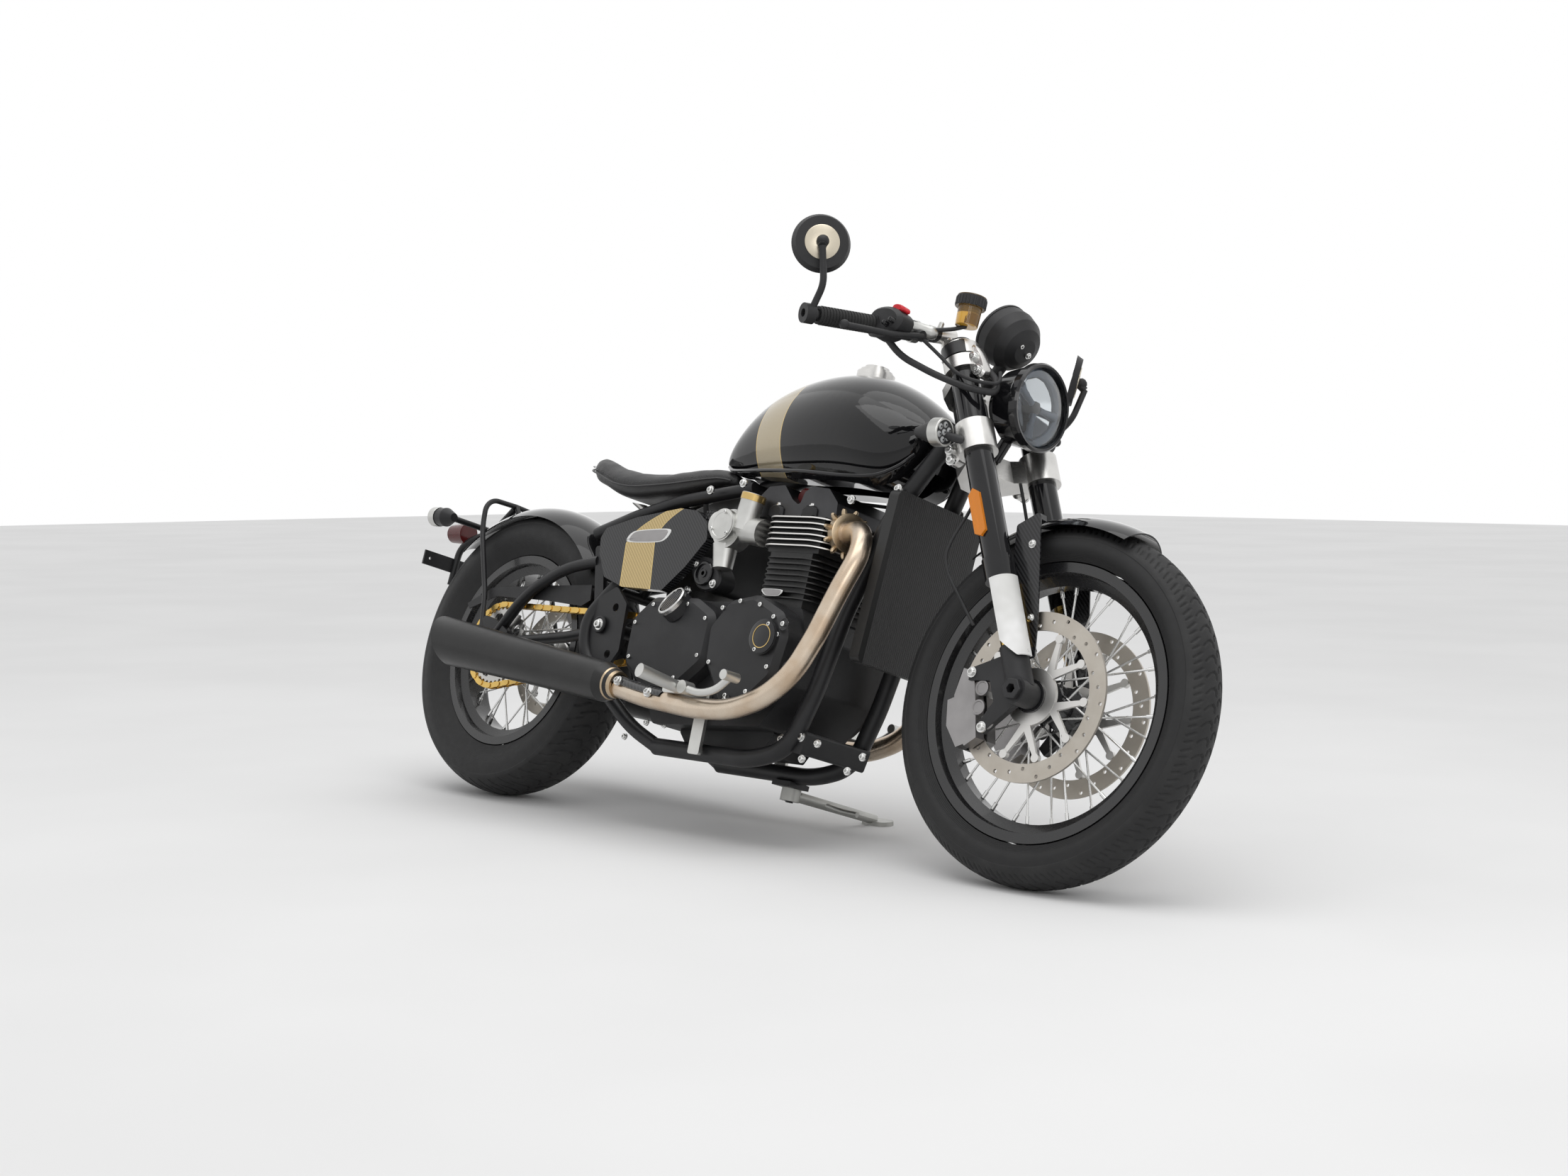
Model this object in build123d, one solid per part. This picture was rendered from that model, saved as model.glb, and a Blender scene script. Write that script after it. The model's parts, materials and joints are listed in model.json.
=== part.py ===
from build123d import *
import os
from math import atan2, cos, degrees, pi, radians, sin, sqrt, tan

# Bobber motorcycle, in millimetres.
# The machine is laid out upright: X runs forward from the rear axle, Y to the
# rider's left, Z up from the ground. At the end the front end is steered and the
# whole machine leans onto its side stand, as it parks.

# Stance
WHEELBASE = 1512.0
RAKE = 25.8
TRAIL = 88.0
LEAN = 17.2
STEER = 2.0
STAND_SWING = 96.0
STAND_PIVOT = (811.0, 104.0)
STAND_TOP = 122.0
STAND_BOSS_H = 26.0
STAND_PIN_R = 8.0

# Wheels and tyres
REAR_TYRE_R = 323.0
REAR_TYRE_W = 144.0
REAR_CROWN = 105.0
REAR_RIM_R = 221.0
REAR_RIM_W = 98.0
FRONT_TYRE_R = 331.0
FRONT_TYRE_W = 104.0
FRONT_CROWN = 56.0
FRONT_RIM_R = 258.0
FRONT_RIM_W = 76.0
RIM_WALL = 5.0
RIM_WELL = 21.0
SPOKES = 32
SPOKE_R = 2.0
NIPPLE_R = 3.6
NIPPLE_LENGTH = 16.0
AXLE_R = 12.5
AXLE_BORE_R = 8.5
RUNNING = 0.05
SEAT_GAP = 0.3

# Brakes
DISC_R = 155.0
DISC_Y = 69.5
DISC_T = 5.0
DISC_BAND = 34.0
DISC_HOLES = 30
DISC_HOLE_R = 3.6
REAR_DISC_R = 127.0
REAR_DISC_Y = 78.0
HUB_SEAT_R = 30.0

# Fork, in the steering axis's own frame: n forward of the axis, s up along it
FORK_Y = 103.0
FORK_N = 65.0
FORK_UPPER_R = 27.0
GUARD_R = 32.0
GUARD_WALL = 3.0
FORK_LUG_R = 25.0
STANCHION_R = 21.5
FORK_SEAL_S = 556.0
FORK_TOP_S = 1052.0
STANCHION_LOW_S = 424.0
LOWER_CLAMP_S = 851.0
UPPER_CLAMP_S = 1008.0
CLIP_ON_S = 1038.0
CLAMP_RING_R = 37.0
LOWER_CLAMP_H = 60.0
UPPER_CLAMP_H = 26.0
HEADSTOCK_LOW_S = 884.0
HEADSTOCK_HIGH_S = 988.0
HEADSTOCK_R = 33.0
STEM_R = 15.0

# Handlebar and grips
BAR_R = 11.0
BAR_INNER = (1163.0, 103.0, 1000.0)
BAR_OUTER = (1068.0, 376.0, 947.0)
GRIP_R = 17.0
GRIP_LENGTH = 126.0
MIRROR_R = 56.0
POD_R = 58.0
POT_R = 22.0

# Tubes of the frame
TUBE_R = 17.5
RAIL_R = 14.0
CRADLE_Y = 92.0
CAGE_Y = 107.0
CAGE_R = 12.5
HOOP_Y = 136.0
HOOP_R = 15.0
PIVOT = (397.0, 380.0)

# Engine
ENGINE_HALF_W = 118.0
CYLINDER_HALF_W = 122.0
FIN_T = 2.6
FIN_PITCH = 11.5
BARREL_FINS = 8
BARREL_FOOT = 470.0
HEAD_FINS = 6
HEAD_FOOT = 574.0
CAM_HALF_W = 92.0
CLUTCH_COVER_Y = 178.0
SPROCKET_COVER_Y = 160.0

# Exhaust
HEADER_R = 20.5
MUFFLER_FRONT_R = 41.0
MUFFLER_REAR_R = 52.0

# Final drive
CHAIN_Y = -86.0
CHAIN_PITCH = 15.875
FRONT_TEETH = 17
REAR_TEETH = 37
ROLLER_R = 5.0
LINK_PLATE_T = 2.0
CHAIN_HALF_W = 7.5
SPROCKET_T = 6.2
FRONT_SPROCKET = (505.0, 372.0)

BASE = (Align.CENTER, Align.CENTER, Align.MIN)
REAR_AXLE = (0.0, 0.0, REAR_TYRE_R)
FRONT_AXLE = (WHEELBASE, 0.0, FRONT_TYRE_R)
AXIS_X = -sin(radians(RAKE))
AXIS_Z = cos(radians(RAKE))
AXLE_S = TRAIL * -AXIS_X + FRONT_TYRE_R * AXIS_Z
STEER_PLANE = Plane(
    origin=(WHEELBASE + TRAIL, 0, 0), x_dir=(AXIS_Z, 0, -AXIS_X), z_dir=(AXIS_X, 0, AXIS_Z)
)


def ahead(n, y, s):
    """Point n ahead of the steering axis, y to the left and s along it."""
    return STEER_PLANE.from_local_coords(Vector(n, y, s))


def rod(start, end, radius, end_radius=None):
    """Round bar or cone between two points."""
    start = Vector(start)
    end = Vector(end)
    length = (end - start).length
    place = Plane(origin=start, z_dir=end - start).location
    if end_radius is None:
        return place * Cylinder(radius, length, align=BASE)
    return place * Cone(radius, end_radius, length, align=BASE)


def ring(start, end, radius, bore):
    """Round bar with a round hole along it."""
    start = Vector(start)
    end = Vector(end)
    over = (end - start).normalized() * 1.0
    return rod(start, end, radius) - rod(start - over, end + over, bore)


def drum(x, z, y_low, y_high, radius):
    """Round bar across the machine."""
    return rod((x, y_low, z), (x, y_high, z), radius)


def pipe(points, radius, most=400.0):
    """Round bar along straight runs joined by arcs as large as the runs allow."""
    points = [Vector(*p) if isinstance(p, tuple) else p for p in points]
    radii = []
    for before, corner, after in zip(points, points[1:], points[2:]):
        turn = radians((corner - before).get_angle(after - corner))
        shorter = min((corner - before).length, (after - corner).length)
        radii.append(min(most, 0.45 * shorter / tan(turn / 2)))
    path = FilletPolyline(*points, radius=radii)
    section = Plane(origin=path @ 0, z_dir=path % 0) * Circle(radius)
    return sweep(section, path=path)


def side_face(outline, y, corner=0.0):
    """Flat shape drawn in side view, at a place across the machine."""
    sketch = make_face(Polyline(*outline, close=True))
    if corner:
        sketch = fillet(sketch.vertices(), corner)
    return Plane(origin=(0, y, 0), x_dir=(1, 0, 0), z_dir=(0, -1, 0)) * sketch


def side_plate(outline, y_low, y_high, corner=0.0):
    """Plate drawn in side view, between two places across the machine."""
    return extrude(side_face(outline, y_high, corner), y_high - y_low)


def mirrored(shape):
    """The same shape on the machine's other side."""
    return shape.mirror(Plane.XZ)


def both(shape):
    """A shape with its copy on the other side."""
    return Compound([*shape.solids(), *mirrored(shape).solids()])


def group(shapes):
    """Separate solids kept as one node."""
    return Compound([solid for shape in shapes for solid in shape.solids()])


def wheel_ring(axle, outline):
    """Turned ring about a wheel's axle, from (y, radius) pairs."""
    face = make_face(Polyline(*outline, close=True))
    plane = Plane(origin=axle, x_dir=(0, 1, 0), z_dir=(1, 0, 0))
    return revolve(plane * face, Axis(axle, (0, 1, 0)), 360)


def tyre(axle, radius, width, crown, rim_radius, rim_width):
    """Tyre with a round crown, bulged walls and beads on the rim."""
    half = width / 2
    shoulder = half * 0.93
    drop = crown - sqrt(crown**2 - shoulder**2)
    bead = rim_radius + SEAT_GAP
    bead_y = rim_width / 2 - RIM_WALL - SEAT_GAP
    edge_y = bead_y + 4.0
    heel = bead - 12.0
    wall_r = (radius - drop + bead) / 2
    crown_arc = ThreePointArc((-shoulder, radius - drop), (0, radius), (shoulder, radius - drop))
    wall = ThreePointArc((shoulder, radius - drop), (half, wall_r), (edge_y, bead))
    wall_back = ThreePointArc((-edge_y, bead), (-half, wall_r), (-shoulder, radius - drop))
    inner = Polyline(
        (edge_y, bead), (bead_y, bead), (bead_y, heel), (bead_y - 9.0, heel), (half - 14.0, wall_r),
        (half * 0.5, radius - drop - 8.0), (-half * 0.5, radius - drop - 8.0), (14.0 - half, wall_r),
        (9.0 - bead_y, heel), (-bead_y, heel), (-bead_y, bead), (-edge_y, bead),
    )
    face = make_face([*crown_arc.edges(), *wall.edges(), *wall_back.edges(), *inner.edges()])
    plane = Plane(origin=axle, x_dir=(0, 1, 0), z_dir=(1, 0, 0))
    return revolve(plane * face, Axis(axle, (0, 1, 0)), 360)


def rim(axle, rim_radius, rim_width):
    """Rolled wheel rim: two flanges, bead seats and a drop centre."""
    half = rim_width / 2
    seat = rim_radius - 14.0
    well = rim_radius - 14.0 - RIM_WELL
    outline = [
        (half, rim_radius - 2.0), (half, seat - 6.0), (half - 16.0, seat - 8.0),
        (half - 24.0, well - RIM_WALL), (24.0 - half, well - RIM_WALL), (16.0 - half, seat - 8.0),
        (-half, seat - 6.0), (-half, rim_radius - 2.0), (RIM_WALL - half, rim_radius - 2.0),
        (RIM_WALL - half, seat - 0.5), (20.0 - half, seat - 2.0), (28.0 - half, well),
        (half - 28.0, well), (half - 20.0, seat - 2.0), (half - RIM_WALL, seat - 0.5),
        (half - RIM_WALL, rim_radius - 2.0),
    ]
    return wheel_ring(axle, outline)


def spokes(axle, rim_radius, flange_r, flange_y, count):
    """Crossed wire spokes, each with its nipple, from hub flanges to the rim."""
    centre = Vector(axle)
    foot_r = rim_radius - 14.0 - RIM_WELL - RIM_WALL + 1.0
    turn = 360.0 / count
    wires = []
    for index in range(count):
        side = 1 if index % 2 else -1
        swing = 62.0 if (index // 2) % 2 else -62.0
        rim_angle = radians(index * turn)
        hub_angle = rim_angle + radians(swing)
        proud = 2.6 if swing > 0 else -2.6
        start = centre + Vector(flange_r * cos(hub_angle), side * (flange_y + proud), flange_r * sin(hub_angle))
        end = centre + Vector(foot_r * cos(rim_angle), side * 7.0, foot_r * sin(rim_angle))
        along = (end - start).normalized()
        wires.append(rod(start, end, SPOKE_R))
        wires.append(rod(end - along * NIPPLE_LENGTH, end, NIPPLE_R))
    return wires


def hub(axle, barrel_r, flange_r, flange_y, low, high):
    """Turned hub between two places on the axle, with spoke flanges and a running bore."""
    flange_t = 7.0
    rim_r = flange_r + 7.0
    outline = [
        (high, AXLE_R + RUNNING), (high, HUB_SEAT_R), (flange_y + 20.0, HUB_SEAT_R),
        (flange_y + 14.0, HUB_SEAT_R + 6), (flange_y + flange_t / 2, rim_r), (flange_y - flange_t / 2, rim_r),
        (flange_y - 12.0, barrel_r), (12.0 - flange_y, barrel_r), (flange_t / 2 - flange_y, rim_r),
        (-flange_t / 2 - flange_y, rim_r), (-flange_y - 14.0, HUB_SEAT_R + 6), (-flange_y - 20.0, HUB_SEAT_R),
        (low, HUB_SEAT_R), (low, AXLE_R + RUNNING),
    ]
    return wheel_ring(axle, outline)


def disc_rotor(axle, y, radius, band, holes):
    """Drilled brake band with staggered holes."""
    rotor = ring((axle[0], y - DISC_T / 2, axle[2]), (axle[0], y + DISC_T / 2, axle[2]), radius, radius - band)
    drills = []
    for index in range(holes):
        angle = 2 * pi * index / holes
        reach = radius - band * (0.25 + 0.25 * (index % 3))
        x = axle[0] + reach * cos(angle)
        z = axle[2] + reach * sin(angle)
        drills.append(drum(x, z, y - DISC_T, y + DISC_T, DISC_HOLE_R))
    return rotor - drills


def front_wheel_parts():
    """Tyre, wire wheel and twin floating discs."""
    half_hub = FORK_Y - FORK_LUG_R - 1.0
    wheel = rim(FRONT_AXLE, FRONT_RIM_R, FRONT_RIM_W)
    wheel = wheel + hub(FRONT_AXLE, 26.0, 34.0, 34.0, -half_hub, half_hub)
    wheel = wheel + spokes(FRONT_AXLE, FRONT_RIM_R, 34.0, 34.0, SPOKES)
    discs = []
    for side in (-1, 1):
        discs.append(disc_rotor(FRONT_AXLE, side * DISC_Y, DISC_R, DISC_BAND, DISC_HOLES))
        discs.append(floating_carrier(FRONT_AXLE, side * DISC_Y, DISC_R - DISC_BAND, 10))
    tread = tyre(FRONT_AXLE, FRONT_TYRE_R, FRONT_TYRE_W, FRONT_CROWN, FRONT_RIM_R, FRONT_RIM_W)
    return {"front_tyre": tread, "front_wheel": wheel, "front_discs": group(discs)}


def floating_carrier(axle, y, band_r, arms):
    """Star carrier whose arms meet the brake band at round bobbins."""
    hub_r = HUB_SEAT_R + SEAT_GAP
    inner_r = 52.0
    bobbin_r = 8.0
    reach = band_r - bobbin_r - SEAT_GAP
    star = ring((axle[0], y - 3.5, axle[2]), (axle[0], y + 3.5, axle[2]), inner_r, hub_r)
    arm_plane = Plane(origin=(axle[0], y + 3.0, axle[2]), x_dir=(1, 0, 0), z_dir=(0, -1, 0))
    for index in range(arms):
        angle = 360.0 * index / arms
        lean = 360.0 / arms * (0.5 if index % 2 else -0.5)
        foot = Vector(inner_r - 3.0, 0, 0).rotate(Axis.Z, angle + lean)
        tip = Vector(reach, 0, 0).rotate(Axis.Z, angle)
        across = (tip - foot).normalized().rotate(Axis.Z, 90)
        outline = Polyline(
            foot + across * 8.0, tip + across * 4.0, tip - across * 4.0, foot - across * 8.0, close=True
        )
        star = star + extrude(arm_plane * make_face(outline), 6.0)
        centre = (axle[0] + tip.X, axle[2] + tip.Y)
        star = star + drum(centre[0], centre[1], y - 4.5, y + 4.5, bobbin_r)
    return star


def rear_wheel_parts():
    """Tyre, wire wheel, brake disc on the left and sprocket on the right."""
    wheel = rim(REAR_AXLE, REAR_RIM_R, REAR_RIM_W)
    wheel = wheel + hub(REAR_AXLE, 34.0, 42.0, 42.0, CHAIN_Y - 6.0, REAR_DISC_Y + 6.0)
    wheel = wheel + spokes(REAR_AXLE, REAR_RIM_R, 42.0, 42.0, SPOKES)
    disc = disc_rotor(REAR_AXLE, REAR_DISC_Y, REAR_DISC_R, 30.0, 24)
    carrier = floating_carrier(REAR_AXLE, REAR_DISC_Y, REAR_DISC_R - 30.0, 6)
    tread = tyre(REAR_AXLE, REAR_TYRE_R, REAR_TYRE_W, REAR_CROWN, REAR_RIM_R, REAR_RIM_W)
    return {
        "rear_tyre": tread,
        "rear_wheel": wheel,
        "rear_disc": group([disc, carrier]),
        "rear_sprocket": sprocket(REAR_AXLE, CHAIN_Y, REAR_TEETH),
    }


def pitch_radius(teeth):
    """Radius of the chain's pins round a sprocket."""
    return CHAIN_PITCH / 2 / sin(pi / teeth)


def sprocket(axle, y, teeth):
    """Toothed ring under the chain's rollers, with five windows."""
    tip_r = pitch_radius(teeth) - ROLLER_R - 1.0
    root_r = tip_r - 5.0
    outline = []
    for index in range(teeth):
        for share, radius in ((0.0, root_r), (0.3, root_r), (0.55, tip_r), (0.75, tip_r)):
            angle = 2 * pi * (index + share) / teeth
            outline.append((radius * cos(angle), radius * sin(angle)))
    plane = Plane(origin=(axle[0], y + SPROCKET_T / 2, axle[2]), x_dir=(1, 0, 0), z_dir=(0, -1, 0))
    blank = extrude(plane * make_face(Polyline(*outline, close=True)), SPROCKET_T)
    blank = blank - drum(axle[0], axle[2], y - 5.0, y + 5.0, HUB_SEAT_R + SEAT_GAP)
    windows = []
    for index in range(5):
        angle = radians(36 + 72 * index)
        windows.append(
            drum(axle[0] + 62.0 * cos(angle), axle[2] + 62.0 * sin(angle), y - 5.0, y + 5.0, 15.0)
        )
    return blank - windows


def drive_chain():
    """Roller chain as one closed loop round both sprockets, on the machine's right."""
    rear_r = pitch_radius(REAR_TEETH)
    front_r = pitch_radius(FRONT_TEETH)
    rear = Vector(REAR_AXLE[0], REAR_AXLE[2], 0)
    front = Vector(*FRONT_SPROCKET, 0)
    span = front - rear
    tilt = atan2(span.Y, span.X)
    wrap = atan2(rear_r - front_r, span.length)
    run = sqrt(span.length**2 - (rear_r - front_r) ** 2)
    top = pi / 2 - wrap
    arc_rear = rear_r * (2 * pi - 2 * top)
    arc_front = front_r * 2 * top
    whole = 2 * run + arc_rear + arc_front
    count = 2 * round(whole / CHAIN_PITCH / 2)

    def place(travel):
        travel = travel % whole
        if travel < run:
            corner = rear + Vector(cos(tilt + top), sin(tilt + top), 0) * rear_r
            return corner + Vector(cos(tilt - wrap), sin(tilt - wrap), 0) * travel
        travel -= run
        if travel < arc_front:
            angle = tilt + top - travel / front_r
            return front + Vector(cos(angle), sin(angle), 0) * front_r
        travel -= arc_front
        if travel < run:
            corner = front + Vector(cos(tilt - top), sin(tilt - top), 0) * front_r
            return corner - Vector(cos(tilt + wrap), sin(tilt + wrap), 0) * travel
        travel -= run
        angle = tilt - top - travel / rear_r
        return rear + Vector(cos(angle), sin(angle), 0) * rear_r

    pins = [place(whole * index / count) for index in range(count)]
    links = []
    for index, pin in enumerate(pins):
        following = pins[(index + 1) % count]
        inner = index % 2 == 0
        low = CHAIN_HALF_W - (2 * LINK_PLATE_T if inner else LINK_PLATE_T)
        for side in (-1, 1):
            edge = sorted((CHAIN_Y + side * low, CHAIN_Y + side * (low + LINK_PLATE_T)))
            links.append(link_plate(pin, following, edge[0], edge[1]))
        links.append(drum(pin.X, pin.Y, CHAIN_Y - CHAIN_HALF_W, CHAIN_Y + CHAIN_HALF_W, ROLLER_R * 0.6))
    solid = links[0]
    return solid + links[1:]


def link_plate(start, end, y_low, y_high):
    """Straight-sided chain plate with cut corners round two pins."""
    along = (end - start).normalized()
    across = along.rotate(Axis.Z, 90)
    half = 6.2
    over = 5.0
    outline = [
        start - along * over + across * 3.0, start + across * half, end + across * half,
        end + along * over + across * 3.0, end + along * over - across * 3.0, end - across * half,
        start - across * half, start - along * over - across * 3.0,
    ]
    return side_plate([(p.X, p.Y) for p in outline], y_low, y_high)


def frame_parts():
    """Backbone, cradle tubes, seat rails, swinging cage and the plates that join them."""
    head_low = ahead(0, 0, HEADSTOCK_LOW_S)
    head_high = ahead(0, 0, HEADSTOCK_HIGH_S)
    over = (head_high - head_low).normalized() * 2.0
    spine = rod(head_low, head_high, HEADSTOCK_R)
    spine = spine + pipe([ahead(-12, 0, 936), (1050, 0, 800), (780, 0, 752), (655, 0, 716)], 22.0)
    spine = spine - rod(head_low - over, head_high + over, STEM_R + RUNNING)
    spine = spine + drum(668, 708, -66, 66, 14.0) + drum(470, 658, -86, 86, 11.0)
    cradles = []
    for side in (-1, 1):
        y = side * CRADLE_Y
        spine = spine + pipe(
            [(690, side * 62, 706), (500, side * 84, 668), (378, side * 92, 630), (262, side * 94, 588)], RAIL_R
        )
        front = pipe(
            [
                (1186, side * 37, 838), (1101, side * 72, 665), (1045, y, 451), (1014, y, 300), (975, y, 180),
                (880, y, 148), (600, y, 148),
            ],
            TUBE_R,
        )
        hoop_y = side * HOOP_Y
        hoop = pipe(
            [
                (602, y, 148), (520, side * 104, 180), (432, side * 124, 250), (358, hoop_y, 325), (346, hoop_y, 392),
                (376, side * 116, 455), (408, side * 90, 520), (424, side * 88, 604),
            ],
            HOOP_R,
        )
        plate = side_plate(
            [(400, 282), (352, 330), (346, 392), (372, 440), (420, 466), (462, 430), (470, 330), (440, 285)],
            hoop_y - 6 if side > 0 else hoop_y - 2, hoop_y + 2 if side > 0 else hoop_y + 6, 12.0,
        )
        plate = plate - [drum(430, 420, hoop_y - 30, hoop_y + 30, 9.0), drum(436, 320, hoop_y - 30, hoop_y + 30, 9.0)]
        pin = rod((PIVOT[0], side * (HOOP_Y - 8), PIVOT[1]), (PIVOT[0], side * (HOOP_Y + 8), PIVOT[1]), 14.0)
        lug = []
        if side > 0:
            lug = [
                Pos(STAND_PIVOT[0], (STAND_PIVOT[1] + CRADLE_Y) / 2, STAND_TOP + 6) * Box(52, 56, 11),
                rod(
                    (STAND_PIVOT[0], STAND_PIVOT[1], STAND_TOP - STAND_BOSS_H - 3),
                    (STAND_PIVOT[0], STAND_PIVOT[1], STAND_TOP + 4), STAND_PIN_R,
                ),
            ]
        cradles.append(front + [hoop, plate, pin, *lug])
    cage = drum(340, 470, -CAGE_Y, CAGE_Y, 12.0) + drum(PIVOT[0], PIVOT[1], -CAGE_Y, CAGE_Y, 14.0)
    for side in (-1, 1):
        y = side * CAGE_Y
        upper = pipe([(306, y, 524), (196, y, 505), (80, y, 440), (6, y, 340)], CAGE_R)
        lower = pipe([(PIVOT[0], y, PIVOT[1]), (250, y, 352), (10, y, 323)], CAGE_R)
        upright = side_plate(
            [(288, 560), (318, 552), (350, 452), (405, 400), (392, 372), (330, 425)], y - 7, y + 7, 7.0
        )
        dropout = side_plate([(-50, 296), (-58, 352), (-36, 384), (16, 372), (58, 352), (52, 300)], y - 9, y + 9, 8.0)
        pivot = rod(
            (PIVOT[0], side * (CAGE_Y - 12.5), PIVOT[1]), (PIVOT[0], side * (HOOP_Y - 8 - SEAT_GAP), PIVOT[1]), 27.0
        )
        nut = rod((0, y, REAR_AXLE[2]), (0, side * (CAGE_Y + 20), REAR_AXLE[2]), 19.0)
        cage = cage + [upper, lower, upright, dropout, pivot, nut]
    cage = cage + drum(0, REAR_AXLE[2], -CAGE_Y - 20, CAGE_Y + 20, AXLE_R)
    cage = cage - drum(0, REAR_AXLE[2], -CAGE_Y - 30, CAGE_Y + 30, AXLE_BORE_R)
    cross = side_plate([(925, 182), (952, 214), (1016, 218), (1006, 172)], -CRADLE_Y, CRADLE_Y, 6.0)
    return {
        "backbone": spine,
        "cradle_tubes": group(cradles),
        "swing_cage": cage,
        "cross_plate": cross,
    }


def tank_section(x, half, top, low, crown):
    """Closed tank section across the machine: flat floor, bulged sides, round crown."""
    floor_half = half * 0.62
    widest = low + (top - low) * 0.42
    shoulder_z = top - crown
    shoulder = half * 0.80
    edges = [
        Line((-floor_half, low), (floor_half, low)),
        ThreePointArc((floor_half, low), (half, widest), (shoulder, shoulder_z)),
        ThreePointArc((shoulder, shoulder_z), (0, top), (-shoulder, shoulder_z)),
        ThreePointArc((-shoulder, shoulder_z), (-half, widest), (-floor_half, low)),
    ]
    plane = Plane(origin=(x, 0, 0), x_dir=(0, 1, 0), z_dir=(1, 0, 0))
    return plane * make_face(edges)


def fuel_tank():
    """Teardrop tank lofted through sections from the seat to the steering head."""
    # x, half width, top, floor, crown height
    sections = (
        (574, 46, 800, 756, 16), (600, 64, 846, 742, 26), (660, 86, 902, 733, 38), (760, 112, 944, 728, 52),
        (880, 130, 960, 722, 60), (1000, 132, 940, 714, 58), (1076, 117, 904, 720, 50), (1114, 97, 878, 752, 36),
        (1133, 71, 860, 796, 16),
    )
    body = loft([tank_section(*section) for section in sections])
    tunnel = pipe([ahead(10, 0, 950), (1050, 0, 800), (780, 0, 752), (540, 0, 690)], 30.0)
    slot = Pos(870, 0, 728) * Box(800, 60, 60)
    legs = [pipe([(1200, side * 22, 862), (1101, side * 70, 665), (1060, side * 80, 500)], TUBE_R + 4) for side in (-1, 1)]
    return body - [tunnel, slot, *legs]


def seat_parts():
    """Solo saddle that sweeps up at the back, its pan and its two carriers."""
    # x, half width, edge height, dish, thickness
    sections = (
        (112, 60, 756, 6, 20), (132, 100, 768, 12, 44), (190, 128, 760, 20, 62), (270, 134, 742, 20, 60),
        (360, 118, 730, 14, 52), (450, 92, 737, 8, 54), (530, 70, 752, 3, 52), (606, 48, 744, 2, 34),
    )
    faces = []
    for x, half, edge, dish, thick in sections:
        plane = Plane(origin=(x, 0, 0), x_dir=(0, 1, 0), z_dir=(1, 0, 0))
        arcs = [
            ThreePointArc((-half, edge - thick * 0.35), (0, edge - dish), (half, edge - thick * 0.35)),
            ThreePointArc((half, edge - thick * 0.35), (half * 0.94, edge - thick * 0.8), (half * 0.7, edge - thick)),
            Line((half * 0.7, edge - thick), (-half * 0.7, edge - thick)),
            ThreePointArc(
                (-half * 0.7, edge - thick), (-half * 0.94, edge - thick * 0.8), (-half, edge - thick * 0.35)
            ),
        ]
        faces.append(plane * make_face(arcs))
    saddle = loft(faces)
    bracket = pipe([(250, 0, 690), (300, 0, 665), (420, 0, 672), (500, 0, 700)], 9.0, 20.0)
    bracket = bracket + rod((402, -88, 646), (402, 88, 646), 7.0) + rod((402, 0, 646), (402, 0, 672), 8.0)
    return {"seat": saddle, "seat_bracket": bracket}


def side_panel(side):
    """Cover beside the seat rails with a raised belt for the stripe."""
    outline = [
        (326, 570), (338, 592), (430, 618), (560, 640), (612, 636), (650, 612), (660, 576), (612, 516), (556, 464),
        (430, 466), (366, 485), (334, 536),
    ]
    inner = CRADLE_Y + TUBE_R + 4.0
    low, high = sorted((side * inner, side * (inner + 22.0)))
    return side_plate(outline, low, high, 12.0)


def mudguard(axle, radius, inner_half, start, end, wall):
    """Rolled mudguard: an arched strip swept round a wheel, from one angle to another."""
    rise = inner_half * 0.42
    outer = [
        ThreePointArc((-inner_half, radius - rise), (0, radius), (inner_half, radius - rise)),
        Line((inner_half, radius - rise), (inner_half + wall, radius - rise)),
        ThreePointArc(
            (inner_half + wall, radius - rise), (0, radius + wall), (-inner_half - wall, radius - rise)
        ),
        Line((-inner_half - wall, radius - rise), (-inner_half, radius - rise)),
    ]
    face = make_face(outer)
    angle = radians(start)
    plane = Plane(origin=axle, x_dir=(0, 1, 0), z_dir=(sin(angle), 0, -cos(angle)))
    return revolve(plane * face, Axis(axle, (0, 1, 0)), start - end)


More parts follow.
